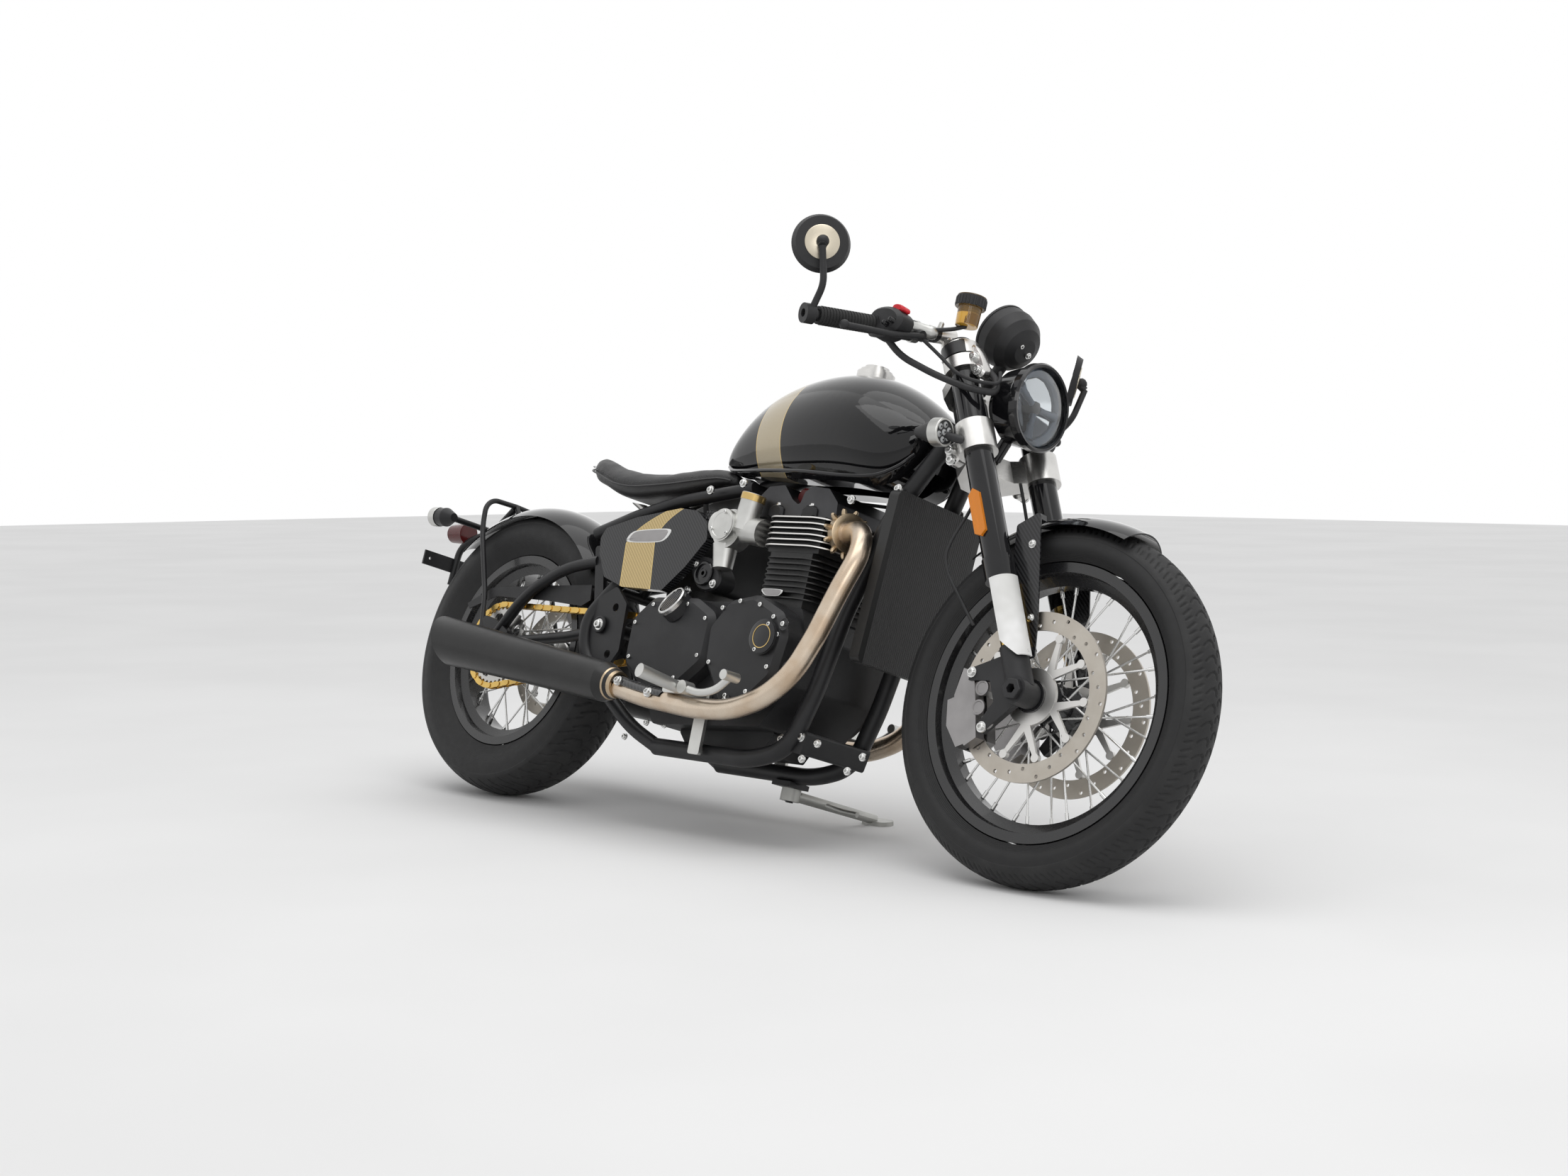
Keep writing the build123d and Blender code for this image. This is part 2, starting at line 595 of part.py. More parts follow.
def engine_parts():
    """Parallel twin: crankcase, round covers, finned barrels and head, cam cover."""
    case = side_plate(
        [(562, 250), (562, 430), (600, 452), (955, 452), (978, 400), (972, 300), (905, 212), (600, 190)],
        -ENGINE_HALF_W, ENGINE_HALF_W, 16.0,
    )
    tail = side_plate([(450, 290), (450, 410), (500, 450), (640, 450), (640, 210), (520, 220)], -66, 66, 20.0)
    sump = side_plate([(620, 194), (900, 214), (870, 168), (650, 165)], -62, 62, 6.0)
    sprocket_r = pitch_radius(FRONT_TEETH) - ROLLER_R - 1.0
    drive_gear = drum(FRONT_SPROCKET[0], FRONT_SPROCKET[1], CHAIN_Y - 3.5, CHAIN_Y + 3.5, sprocket_r)
    shaft = drum(FRONT_SPROCKET[0], FRONT_SPROCKET[1], CHAIN_Y - 8, -60, 14.0)
    clutch = side_plate(
        [(772, 320), (764, 392), (806, 446), (880, 462), (960, 430), (984, 385), (972, 300), (905, 236), (836, 240)],
        -CLUTCH_COVER_Y, -ENGINE_HALF_W, 30.0,
    )
    clutch = chamfer(clutch.faces().sort_by(Axis.Y)[0].edges(), 12.0)
    clutch = clutch + drum(932, 377, -CLUTCH_COVER_Y - 7, -CLUTCH_COVER_Y + 2, 36.0)
    drive = side_plate(
        [(512, 300), (508, 400), (560, 446), (690, 450), (756, 420), (756, 320), (690, 262), (570, 264)],
        -SPROCKET_COVER_Y, -ENGINE_HALF_W, 34.0,
    )
    drive = chamfer(drive.faces().sort_by(Axis.Y)[0].edges(), 12.0)
    drive = drive + rod((640, -SPROCKET_COVER_Y + 14, 424), (634, -SPROCKET_COVER_Y - 8, 436), 34.0)
    left = side_plate(
        [(600, 290), (570, 380), (620, 440), (760, 452), (900, 450), (968, 400), (962, 300), (900, 240), (720, 250)],
        ENGINE_HALF_W, ENGINE_HALF_W + 30.0, 34.0,
    )
    left = left + drum(870, 352, ENGINE_HALF_W + 28, ENGINE_HALF_W + 46, 76.0)
    barrels = Pos(885, 0, 508) * Box(116, 2 * CYLINDER_HALF_W - 24, 110)
    for index in range(BARREL_FINS):
        barrels = barrels + Pos(885, 0, BARREL_FOOT + index * FIN_PITCH) * fin(152, 2 * CYLINDER_HALF_W, 42.0)
    head = Pos(888, 0, 600) * Box(140, 2 * CYLINDER_HALF_W - 22, 74)
    for index in range(HEAD_FINS):
        head = head + Pos(888, 0, HEAD_FOOT + index * FIN_PITCH) * fin(180, 2 * CYLINDER_HALF_W + 14, 46.0)
    for side in (-1, 1):
        head = head + rod((950, side * 70, 606), (992, side * 82, 610), 27.0)
    humps = side_plate(
        [
            (728, 638), (736, 676), (762, 702), (806, 706), (836, 676), (858, 664), (866, 692), (884, 704),
            (932, 700), (962, 672), (966, 638),
        ],
        -CAM_HALF_W, CAM_HALF_W, 7.0,
    )
    return {
        "crankcase": case + [tail, sump, shaft, drive_gear],
        "engine_covers": group([clutch, drive, left]),
        "cylinder_barrels": barrels,
        "cylinder_head": head,
        "cam_cover": humps,
    }


def fin(length, width, corner):
    """Thin cooling fin with round corners."""
    return extrude(RectangleRounded(length, width, corner), FIN_T / 2, both=True)


def throttle_body(side):
    """Round-topped throttle body with its bowl, side disc and ringed cap."""
    body = rod((712, side * 98, 600), (712, side * 136, 600), 40.0)
    body = body + rod((664, side * 118, 612), (797, side * 112, 599), 28.0)
    body = body + rod((712, side * 130, 604), (712, side * 152, 604), 34.0)
    body = body + rod((748, side * 124, 600), (758, side * 124, 676), 24.0)
    return body + rod((700, side * 118, 570), (706, side * 118, 520), 26.0, 20.0)


def exhaust_parts(side):
    """Header with its finned clamp, and its slash-cut silencer."""
    # x, distance out, z
    route = (
        (994, 82, 611), (1064, 112, 613), (1100, 142, 560), (1088, 162, 490), (1066, 178, 388), (1043, 192, 312),
        (989, 199, 258), (905, 202, 225), (805, 202, 221), (660, 203, 231), (562, 204, 246),
    )
    header = pipe([(x, side * y, z) for x, y, z in route], HEADER_R)
    collar = rod((993, side * 82, 611), (1009, side * 88, 611), 38.0)
    front = Vector(566, side * 204, 249)
    rear = Vector(-40, side * 212, 303)
    along = (rear - front).normalized()
    length = (rear - front).length
    profile = Polyline(
        (-8, HEADER_R + 1.5), (-8, HEADER_R + 5), (34, MUFFLER_FRONT_R), (length, MUFFLER_REAR_R),
        (length, MUFFLER_REAR_R - 8), (length - 70, MUFFLER_REAR_R - 12), (length - 70, 0), (14, 0),
        (14, HEADER_R + 1.5), close=True,
    )
    section = Plane(origin=front, x_dir=along, z_dir=(0, 1, 0))
    muffler = revolve(section * make_face(profile), Axis(front, along), 360)
    slash = Plane(origin=rear - along * 26, z_dir=(along + Vector(0, 0, -0.5)).normalized())
    muffler = muffler - extrude(slash * Rectangle(240, 240), 120)
    return header + collar, muffler - header


def fork_plate(outline, y_low, y_high):
    """Plate drawn in the fork's own side view, from (n, s) points."""
    origin = STEER_PLANE.from_local_coords(Vector(0, y_high, 0))
    plane = Plane(origin=origin, x_dir=(AXIS_Z, 0, -AXIS_X), z_dir=(0, -1, 0))
    return extrude(plane * make_face(Polyline(*outline, close=True)), y_high - y_low)


def fork_parts():
    """Upside-down fork: clamps, tubes, stanchions, axle lugs and spindle."""
    uppers = []
    stanchions = []
    lugs = []
    guards = []
    n = FORK_N
    for side in (-1, 1):
        y = side * FORK_Y
        upper = rod(ahead(n, y, FORK_SEAL_S), ahead(n, y, FORK_TOP_S), FORK_UPPER_R)
        upper = upper + rod(ahead(n, y, FORK_SEAL_S), ahead(n, y, FORK_SEAL_S + 44), FORK_UPPER_R + 2.5)
        upper = upper + rod(ahead(n, y, FORK_TOP_S), ahead(n, y, FORK_TOP_S + 12), FORK_UPPER_R - 5)
        uppers.append(upper)
        stanchions.append(rod(ahead(n, y, STANCHION_LOW_S), ahead(n, y, FORK_SEAL_S), STANCHION_R))
        lug = rod(ahead(n, y, AXLE_S + 6), ahead(n, y, STANCHION_LOW_S), FORK_LUG_R)
        lug = lug + rod(ahead(n, y - 24, AXLE_S), ahead(n, y + 24, AXLE_S), FORK_LUG_R)
        arm = [
            (n - 10, AXLE_S + 80), (n - 96, AXLE_S + 84), (n - 104, AXLE_S + 64), (n - 60, AXLE_S + 46),
            (n - 60, AXLE_S + 4), (n - 104, AXLE_S - 24), (n - 96, AXLE_S - 42), (n - 10, AXLE_S - 14),
        ]
        inner, outer = sorted((side * (FORK_Y - 13), side * (FORK_Y + 1)))
        lugs.append(lug + fork_plate(arm, inner, outer))
        shell = ring(ahead(n, y, 396), ahead(n, y, FORK_SEAL_S - 1), GUARD_R, GUARD_R - GUARD_WALL)
        outline = [(n - 6, FORK_SEAL_S), (n + 40, FORK_SEAL_S), (n + 40, 396), (n + 20, 396), (n - 6, 432)]
        front = fork_plate(outline, *sorted((side * (FORK_Y - 6), side * (FORK_Y + GUARD_R + 1))))
        foot = rod(ahead(n + 22, y, 408), ahead(n + GUARD_R - 1, y, 408), 7.0)
        guards.append((shell & front) + foot - lug)
    axle = rod((WHEELBASE, -FORK_Y - 23, FRONT_TYRE_R), (WHEELBASE, FORK_Y + 23, FRONT_TYRE_R), AXLE_R)
    hole = rod((WHEELBASE, -FORK_Y - 30, FRONT_TYRE_R), (WHEELBASE, FORK_Y + 30, FRONT_TYRE_R), AXLE_BORE_R)
    lugs = [lug + axle - hole for lug in lugs]
    stem = rod(ahead(0, 0, LOWER_CLAMP_S), ahead(0, 0, UPPER_CLAMP_S - UPPER_CLAMP_H / 2), STEM_R)
    return {
        "fork_tubes": group(uppers),
        "fork_stanchions": group(stanchions),
        "fork_lugs": lugs[0] + lugs[1],
        "fork_guards": group(guards),
        "lower_clamp": clamp(LOWER_CLAMP_S, LOWER_CLAMP_H, 4.0) + stem,
        "upper_clamp": clamp(UPPER_CLAMP_S, UPPER_CLAMP_H, 0.0),
    }


def clamp(s, height, reach):
    """Machined triple clamp: two split rings and a waisted bridge through the stem."""
    bridge_plane = STEER_PLANE.offset(s - height / 2)
    half = FORK_Y
    outline = Polyline(
        (FORK_N - 22, half), (-16, 62), (-34 - reach, 22), (-34 - reach, -22), (-16, -62), (FORK_N - 22, -half),
        (FORK_N + 20, -half), (40, -44), (34, 0), (40, 44), (FORK_N + 20, half), close=True,
    )
    body = extrude(bridge_plane * make_face(outline), height * 0.8)
    for side in (-1, 1):
        y = side * FORK_Y
        body = body + rod(ahead(FORK_N, y, s - height / 2), ahead(FORK_N, y, s + height / 2), CLAMP_RING_R)
    for side in (-1, 1):
        y = side * FORK_Y
        body = body - rod(ahead(FORK_N, y, s - height), ahead(FORK_N, y, s + height), FORK_UPPER_R + SEAT_GAP)
    return body


def bar_point(side, travel):
    """Point on a handlebar's axis, at a distance inwards from its outer end."""
    inner = Vector(BAR_INNER[0], side * BAR_INNER[1], BAR_INNER[2])
    outer = Vector(BAR_OUTER[0], side * BAR_OUTER[1], BAR_OUTER[2])
    return outer + (inner - outer).normalized() * travel


def handlebar_parts():
    """Clip-on bars, grips, switch blocks, levers and the front master cylinder."""
    bars = []
    grips = []
    controls = []
    mirrors = []
    for side in (-1, 1):
        y = side * FORK_Y
        inner = Vector(BAR_INNER[0], side * BAR_INNER[1], BAR_INNER[2])
        clip = rod(ahead(FORK_N, y, CLIP_ON_S - 14), ahead(FORK_N, y, CLIP_ON_S + 12), CLAMP_RING_R)
        clip = clip + rod(ahead(FORK_N - 30, y, CLIP_ON_S), inner, 13.0)
        clip = clip + rod(inner + (bar_point(side, 0) - inner).normalized() * -14, bar_point(side, 250), 15.0)
        clip = clip - rod(ahead(FORK_N, y, CLIP_ON_S - 40), ahead(FORK_N, y, CLIP_ON_S + 40), FORK_UPPER_R + SEAT_GAP)
        clip = clip + rod(bar_point(side, 250), bar_point(side, SEAT_GAP), BAR_R)
        bars.append(clip)
        grip = ring(bar_point(side, 10), bar_point(side, GRIP_LENGTH), GRIP_R, BAR_R + SEAT_GAP)
        grips.append(grip)
        block = ring(bar_point(side, GRIP_LENGTH + 4), bar_point(side, GRIP_LENGTH + 46), 23.0, BAR_R + SEAT_GAP)
        pivot = bar_point(side, 200) + Vector(46, 0, -14)
        mid = bar_point(side, 120) + Vector(62, 0, -22)
        tip = bar_point(side, 34) + Vector(44, 0, -16)
        perch = ring(bar_point(side, 186), bar_point(side, 214), 19.0, BAR_R + SEAT_GAP)
        perch = perch + rod(bar_point(side, 200) + Vector(17, 0, -6), pivot, 11.0)
        blade = pipe([pivot, mid, tip], 6.0, 60.0)
        ball = Pos(tip) * Sphere(9.5)
        controls.append(group([block, perch + blade + ball]))
        mirrors.append(bar_mirror(side))
    cylinder = rod(bar_point(-1, 234) + Vector(30, 0, -2), bar_point(-1, 172) + Vector(30, 0, 8), 11.0)
    pot_base = Vector(1228, -130, 1010)
    pot_top = pot_base + Vector(-1, 0, 36)
    reservoir = rod(pot_base, pot_top, POT_R - 1, POT_R + 1)
    reservoir = reservoir + rod(pot_top, pot_top + Vector(0, 0, 22), POT_R + 6)
    arm = pipe([bar_point(-1, 222) + Vector(30, 0, 2), (1206, -142, 1000), pot_base], 4.0) - reservoir
    for side in (-1, 1):
        controls.append(rod(bar_point(side, 200) + Vector(18, 0, 0), bar_point(side, 200) + Vector(34, 0, 2), 8.0))
    controls = [fused_controls(controls, side) for side in (-1, 1)]
    controls[0] = controls[0] + [cylinder, arm]
    return {
        "handlebars": group(bars),
        "grips": group(grips),
        "bar_controls": group(controls),
        "mirrors": group(mirrors),
        "fluid_reservoir": reservoir,
    }


def fused_controls(pieces, side):
    """Lever, perch and switch block of one side, joined."""
    own = [solid for piece in pieces for solid in piece.solids() if solid.center().Y * side > 0]
    return own[0] + own[1:]


def bar_hoses():
    """Cable looms from the switch blocks to behind the headlamp, and the brake hoses."""
    loom = pipe(
        [
            (1122, -232, 958), (1150, -206, 925), (1200, -162, 905), (1240, -147, 893), (1285, -142, 880),
            (1312, -102, 886), (1298, -96, 915), (1262, -82, 940),
        ],
        6.5,
    )
    hose = pipe(
        [
            (1172, -184, 968), (1202, -154, 942), (1240, -147, 912), (1290, -147, 894), (1318, -106, 902),
            (1308, -100, 928),
        ],
        3.5,
    )
    brake = pipe(
        [
            (1277, -60, 770), (1296, -70, 716), (1304, -96, 658), (1288, -108, 604), (1282, -112, 570),
            (1296, -110, 535), (1330, -106, 495), (1370, -98, 446),
        ],
        3.2,
    )
    right = group([loom, hose, brake])
    return group([right, mirrored(right)])


def bar_mirror(side):
    """Round mirror on a curved arm clamped to the bar's end."""
    out = (bar_point(side, 0) - bar_point(side, 100)).normalized()
    end = bar_point(side, 0)
    foot = ring(end, end + out * 20, 19.0, 8.0)
    face_out = Vector(0.78, side * 0.62, -0.05).normalized()
    # the left arm is swung further forward
    head = end + out * 13 + Vector(18 + side * 21, 0, 139)
    tip = head + face_out * 24 + Vector(0, 0, -12)
    arm = pipe([end + out * 10 + Vector(8, 0, 8), end + out * 14 + Vector(40 + side * 12, 0, 56), tip], 6.5, 60.0)
    shell = rod(head - face_out * 8, head + face_out * 6, MIRROR_R, MIRROR_R - 6)
    stalk = rod(head + face_out * 5, tip, 8.0)
    return foot + [arm, shell, stalk]


def lighting_parts(clamps):
    """Headlamp bowl and lens, instrument pod, front indicators and side reflectors."""
    centre = Vector(1332, 0, 892)
    bowl = rod(centre + Vector(-84, 0, 0), centre + Vector(-52, 0, 0), 42.0, 72.0)
    bowl = bowl + rod(centre + Vector(-52, 0, 0), centre + Vector(8, 0, 0), 72.0, 84.0)
    bowl = bowl - rod(centre + Vector(-20, 0, 0), centre + Vector(20, 0, 0), 76.0)
    bowl = bowl + rod(ahead(34, 0, LOWER_CLAMP_S + 8), centre + Vector(-50, 0, -52), 12.0)
    lens = rod(centre + Vector(-20, 0, 0), centre + Vector(4, 0, 0), 76.0 - SEAT_GAP)
    # along the dial's axis from its rim, distance out
    profile = Polyline(
        (6, 0), (6, POD_R - 5), (0, POD_R - 5), (0, POD_R), (28, POD_R + 2), (52, POD_R - 3), (70, POD_R - 16),
        (79, POD_R - 34), (80, 0), close=True,
    )
    rim = Vector(1205, 0, 1046)
    down = Vector(0.86, 0, -0.51)
    pod = revolve(Plane(origin=rim, x_dir=down, z_dir=(0, 1, 0)) * make_face(profile), Axis(rim, down), 360)
    pod = pod + rod((1232, 0, 990), ahead(FORK_N - 30, 0, UPPER_CLAMP_S + 4), 12.0)
    indicators = []
    reflectors = []
    for side in (-1, 1):
        root = ahead(FORK_N - 6, side * (FORK_Y + CLAMP_RING_R - 6), LOWER_CLAMP_S - 10)
        head = Vector(1232, side * 162, 790)
        body = rod(head + Vector(-38, 0, 0), head + Vector(6, 0, 0), 10.0, 24.0)
        body = body + rod(head + Vector(6, 0, 0), head + Vector(26, 0, 0), 26.0)
        indicators.append(body + rod(root, head, 8.0) - clamps)
        outline = [(47, 650), (59, 642), (71, 650), (71, 728), (59, 740), (47, 728)]
        inner, outer = sorted((side * (FORK_Y + 20), side * (FORK_Y + FORK_UPPER_R + 6)))
        hollow = rod(ahead(FORK_N, side * FORK_Y, 600), ahead(FORK_N, side * FORK_Y, 800), FORK_UPPER_R)
        reflectors.append(fork_plate(outline, inner, outer) - hollow)
    return {
        "headlamp_bowl": bowl - clamps,
        "headlamp_lens": lens,
        "instrument_pod": pod - clamps,
        "front_indicators": group(indicators),
        "reflectors": group(reflectors),
    }


def front_guard_parts(fork):
    """Short front mudguard and the stays that carry it."""
    guard = mudguard(FRONT_AXLE, FRONT_TYRE_R + 14, 60.0, 130.0, 68.0, 3.0)
    stays = []
    for side in (-1, 1):
        inner, outer = sorted((side * 79.2, side * 82.2))
        outline = [(1408, 640), (1455, 668), (1470, 600), (1498, 470), (1508, 400), (1478, 388), (1440, 470), (1418, 560)]
        lip = side_plate([(1410, 636), (1455, 664), (1458, 654), (1414, 626)], *sorted((side * 63.2, side * 82.2)))
        hollow = rod(
            ahead(FORK_N, side * FORK_Y, STANCHION_LOW_S), ahead(FORK_N, side * FORK_Y, FORK_SEAL_S),
            STANCHION_R + SEAT_GAP,
        )
        stays.append(side_plate(outline, inner, outer, 6.0) + lip - fork - hollow)
    return {"front_mudguard": guard, "mudguard_stays": group(stays)}


def front_calipers(lugs):
    """Radial calipers astride the front discs, seated on the axle lugs."""
    pieces = []
    for side in (-1, 1):
        y = side * DISC_Y
        outline = [
            (FORK_N - 92, AXLE_S + 78), (FORK_N - 112, AXLE_S + 92), (FORK_N - 142, AXLE_S + 50),
            (FORK_N - 152, AXLE_S), (FORK_N - 140, AXLE_S - 50), (FORK_N - 112, AXLE_S - 44),
            (FORK_N - 100, AXLE_S + 20),
        ]
        block = fork_plate(outline, y - 30, y + 30)
        slot = rod((FRONT_AXLE[0], y - 5, FRONT_AXLE[2]), (FRONT_AXLE[0], y + 5, FRONT_AXLE[2]), DISC_R + 5.5)
        block = block - slot - lugs
        bridge = fork_plate(
            [(FORK_N - 158, AXLE_S + 46), (FORK_N - 170, AXLE_S), (FORK_N - 158, AXLE_S - 46), (FORK_N - 134, AXLE_S - 46),
             (FORK_N - 134, AXLE_S + 46)],
            y - 30, y + 30,
        )
        pieces.append(block + (bridge - slot))
    return group(pieces)


def rear_caliper():
    """Caliper over the rear disc's front edge, on the machine's left."""
    outline = [(30, 434), (60, 458), (112, 446), (132, 412), (112, 388), (60, 400)]
    y = REAR_DISC_Y
    block = side_plate(outline, y - 24, CAGE_Y - CAGE_R, 8.0)
    over = side_plate([(80, 430), (96, 466), (134, 440), (112, 414)], y - 24, CAGE_Y - CAGE_R, 4.0)
    return block + over - rod((0, y - 5, REAR_AXLE[2]), (0, y + 5, REAR_AXLE[2]), REAR_DISC_R + 5.5)


def body_fittings(cage, backbone):
    """Radiator, rear mudguard and its loop, lamps, chain guard, cap and shock."""
    radiator_plane = Plane(origin=(1144, 0, 524), x_dir=(0, 1, 0), z_dir=(cos(radians(3)), 0, -sin(radians(3))))
    core = extrude(radiator_plane * RectangleRounded(254, 336, 14), -24.0)
    mount = [rod((1096, side * 62, 668), (1130, side * 62, 668), 7.0) for side in (-1, 1)]
    guard = mudguard(REAR_AXLE, REAR_TYRE_R + 15, 82.0, 136.0, 38.0, 3.0)
    loop = pipe([(-40, -114, 350), (-70, -104, 430), (-150, -98, 590), (-168, -90, 664), (-172, 0, 668)], 6.0)
    loop = loop + mirrored(loop) - cage
    stand_off = rod((-171, 0, 668), (-142, 0, 632), 6.0)
    bar = rod((-236, -128, 604), (-236, 128, 604), 7.0)
    bullets = []
    for side in (-1, 1):
        bullet = rod((-292, side * 130, 604), (-250, side * 130, 604), 20.0, 22.0)
        bullets.append(bullet + rod((-250, side * 130, 604), (-222, side * 130, 604), 22.0, 10.0))
    hanger = pipe([(-175, 0, 663), (-236, 0, 604), (-310, 0, 586), (-352, 0, 560), (-356, 0, 470)], 8.0)
    holder = Pos(-358, 0, 516) * Box(5, 184, 34)
    holes = [rod((-366, side * 75, 516), (-350, side * 75, 516), 3.5) for side in (-1, 1)]
    lamp = rod((-388, 0, 596), (-332, 0, 598), 22.0, 26.0) - hanger
    chain_guard = side_plate(
        [(-142, 412), (-62, 452), (100, 464), (282, 474), (288, 440), (262, 426), (150, 432), (-40, 434), (-132, 400)],
        -CAGE_Y + CAGE_R + 0.6, -CAGE_Y + CAGE_R + 3.6,
    )
    chain_guard = chain_guard + side_plate(
        [(-142, 412), (-62, 452), (100, 464), (282, 474), (282, 471), (100, 461), (-62, 449), (-140, 409)],
        -CAGE_Y + CAGE_R + 0.6, -78.6,
    )
    shock = rod((468, 0, 656), (342, 0, 473), 11.0) + rod((454, 0, 636), (376, 0, 523), 31.0)
    airbox = side_plate([(500, 480), (500, 640), (600, 652), (650, 640), (650, 480)], -70, 70, 14.0)
    return {
        "radiator": core + mount,
        "rear_mudguard": guard,
        "mudguard_loop": loop + stand_off - guard,
        "plate_holder": hanger + [holder, bar, *bullets] - [*holes, guard, loop],
        "tail_lamp": lamp,
        "chain_guard": chain_guard,
        "rear_shock": shock - [cage, backbone],
        "airbox": airbox + [rod((560, y * 60, 640), (560, y * 77, 684), 6.0) for y in (-1, 1)] - backbone,
    }


def filler_cap(tank):
    """Stepped round cap seated on the tank's crown."""
    cap = rod((900, 0, 940), (900, 0, 968), 39.0) + rod((900, 0, 966), (900, 0, 974), 33.0)
    return cap + rod((900, 0, 974), (900, 0, 981), 25.0) - tank


def foot_controls(side):
    """Footpeg on its hanger, with the brake pedal or gear lever ahead of it."""
    strut = side_plate([(732, 140), (728, 262), (742, 274), (760, 262), (764, 140)], *sorted((side * 119, side * 127)), 5.0)
    spacer = rod((748, side * CRADLE_Y, 150), (748, side * 125, 150), 9.0)
    shaft = rod((745, side * 120, 256), (745, side * 226, 256), 11.0)
    block = side_plate([(732, 242), (732, 270), (800, 268), (806, 244)], *sorted((side * 214, side * 228)), 6.0)
    peg = rod((776, side * 222, 254), (761, side * 322, 266), 12.0, 14.0)
    lever = pipe([(800, side * 232, 254), (850, side * 236, 246), (896, side * 240, 256), (930, side * 242, 282)], 7.5)
    pivot = rod((800, side * 216, 255), (800, side * 242, 255), 13.0)
    pad = rod((932, side * 226, 284), (932, side * 264, 284), 10.0)
    return strut + [spacer, shaft, block, peg, lever, pivot, pad]


def low_point(centre, axle, radius, crown):
    """Lowest height of a tyre's round crown, for a wheel that leans."""
    return centre.Z - (radius - crown) * sqrt(1 - axle.Z**2) - crown


def steered(shape):
    """A front end piece turned about the steering axis."""
    return shape.rotate(Axis(STEER_PLANE.origin, STEER_PLANE.z_dir), STEER)


def turned(location, vector):
    """Direction of a vector after a turn."""
    return (location * Location(vector)).position - location.position


lean = Rot(X=-LEAN)
steer_turn = Location(STEER_PLANE) * Rot(Z=STEER) * Location(STEER_PLANE).inverse()
rear_centre = (lean * Location(REAR_AXLE)).position
rear_axle_dir = turned(lean, (0, 1, 0))
front_centre = (lean * steer_turn * Location(FRONT_AXLE)).position
front_axle_dir = turned(lean * steer_turn, (0, 1, 0))
rear_low = low_point(rear_centre, rear_axle_dir, REAR_TYRE_R, REAR_CROWN)
front_low = low_point(front_centre, front_axle_dir, FRONT_TYRE_R, FRONT_CROWN)
nose_down = degrees(atan2(front_low - rear_low, WHEELBASE))
tipped = Rot(Y=nose_down) * lean
rear_centre = (tipped * Location(REAR_AXLE)).position
lift = -low_point(rear_centre, turned(tipped, (0, 1, 0)), REAR_TYRE_R, REAR_CROWN)
park = Pos(0, 0, lift) * tipped


def side_stand():
    """Side stand with its foot flat on the ground, prong and eye on the frame's pin."""
    pivot = Vector(STAND_PIVOT[0], STAND_PIVOT[1], STAND_TOP - STAND_BOSS_H / 2)
    ground = park.inverse()
    foot_centre = Vector(868, 330, 0)
    foot = ground * extrude(Pos(foot_centre) * SlotOverall(74, 42), 9.0)
    toe = (ground * Location(foot_centre + Vector(0, -8, 10))).position
    along = (toe - pivot).normalized()
    leg = rod(pivot + along * 12, toe, 11.0, 10.0)
    boss = rod(pivot + Vector(0, 0, -STAND_BOSS_H / 2), pivot + Vector(0, 0, STAND_BOSS_H / 2), 20.0)
    mid = pivot + along * 75
    prong = pipe([mid, mid + Vector(30, 24, -6), mid + Vector(78, 28, -8)], 6.0)
    eye = rod(pivot + Vector(0, 0, -STAND_BOSS_H), pivot + Vector(0, 0, STAND_BOSS_H), STAND_PIN_R + RUNNING)
    return foot + [leg, boss, prong] - eye


def build():
    """Every node, grouped by the body that it moves with."""
    root = frame_parts()
    root.update(engine_parts())
    tank = fuel_tank() - root["backbone"]
    root["fuel_tank"] = tank
    root["filler_cap"] = filler_cap(tank)
    root.update(seat_parts())
    root["seat_bracket"] = root["seat_bracket"] - [root["seat"], root["backbone"]]
    root.update(body_fittings(root["swing_cage"], root["backbone"]))
    root["radiator"] = root["radiator"] - root["cradle_tubes"]
    root["cradle_tubes"] = root["cradle_tubes"] - root["backbone"]
    root["cross_plate"] = root["cross_plate"] - root["cradle_tubes"]
    root["drive_chain"] = drive_chain()
    root["rear_caliper"] = rear_caliper() - root["swing_cage"]
    root["swing_cage"] = root["swing_cage"] - root["cradle_tubes"]
    panels = group([side_panel(side) - root["cradle_tubes"] for side in (-1, 1)])
    root["side_panels"] = panels
    root["throttle_bodies"] = group([throttle_body(side) - panels for side in (-1, 1)])
    for name, side in (("right", -1), ("left", 1)):
        header, muffler = exhaust_parts(side)
        root["exhaust_header_" + name] = header - root["cylinder_head"]
        root["muffler_" + name] = muffler
        controls = foot_controls(side) - root["cradle_tubes"]
        root["foot_controls_" + name] = controls - [header, root["engine_covers"]]
    front = fork_parts()
    clamps = [front["lower_clamp"], front["upper_clamp"], front["fork_tubes"]]
    front.update(handlebar_parts())
    front.update(lighting_parts(clamps))
    front["instrument_pod"] = front["instrument_pod"] - front["headlamp_bowl"]
    front.update(front_guard_parts([front["fork_tubes"], front["fork_lugs"]]))
    front["front_calipers"] = front_calipers(front["fork_lugs"])
    held = [front["bar_controls"], front["lower_clamp"], front["front_calipers"], front["handlebars"]]
    front["bar_hoses"] = group([hose - held for hose in bar_hoses().solids()])
    wheel = front_wheel_parts()
    rear = rear_wheel_parts()
    nodes = {name: park * shape for name, shape in root.items()}
    nodes.update({name: park * steered(shape) for name, shape in front.items()})
    nodes.update({name: park * steered(shape) for name, shape in wheel.items()})
    nodes.update({name: park * shape for name, shape in rear.items()})
    nodes["side_stand"] = park * side_stand()
    bodies = {
        "frame": list(root), "steering": list(front), "front_wheel": list(wheel), "rear_wheel": list(rear),
        "side_stand": ["side_stand"],
    }
    return nodes, bodies


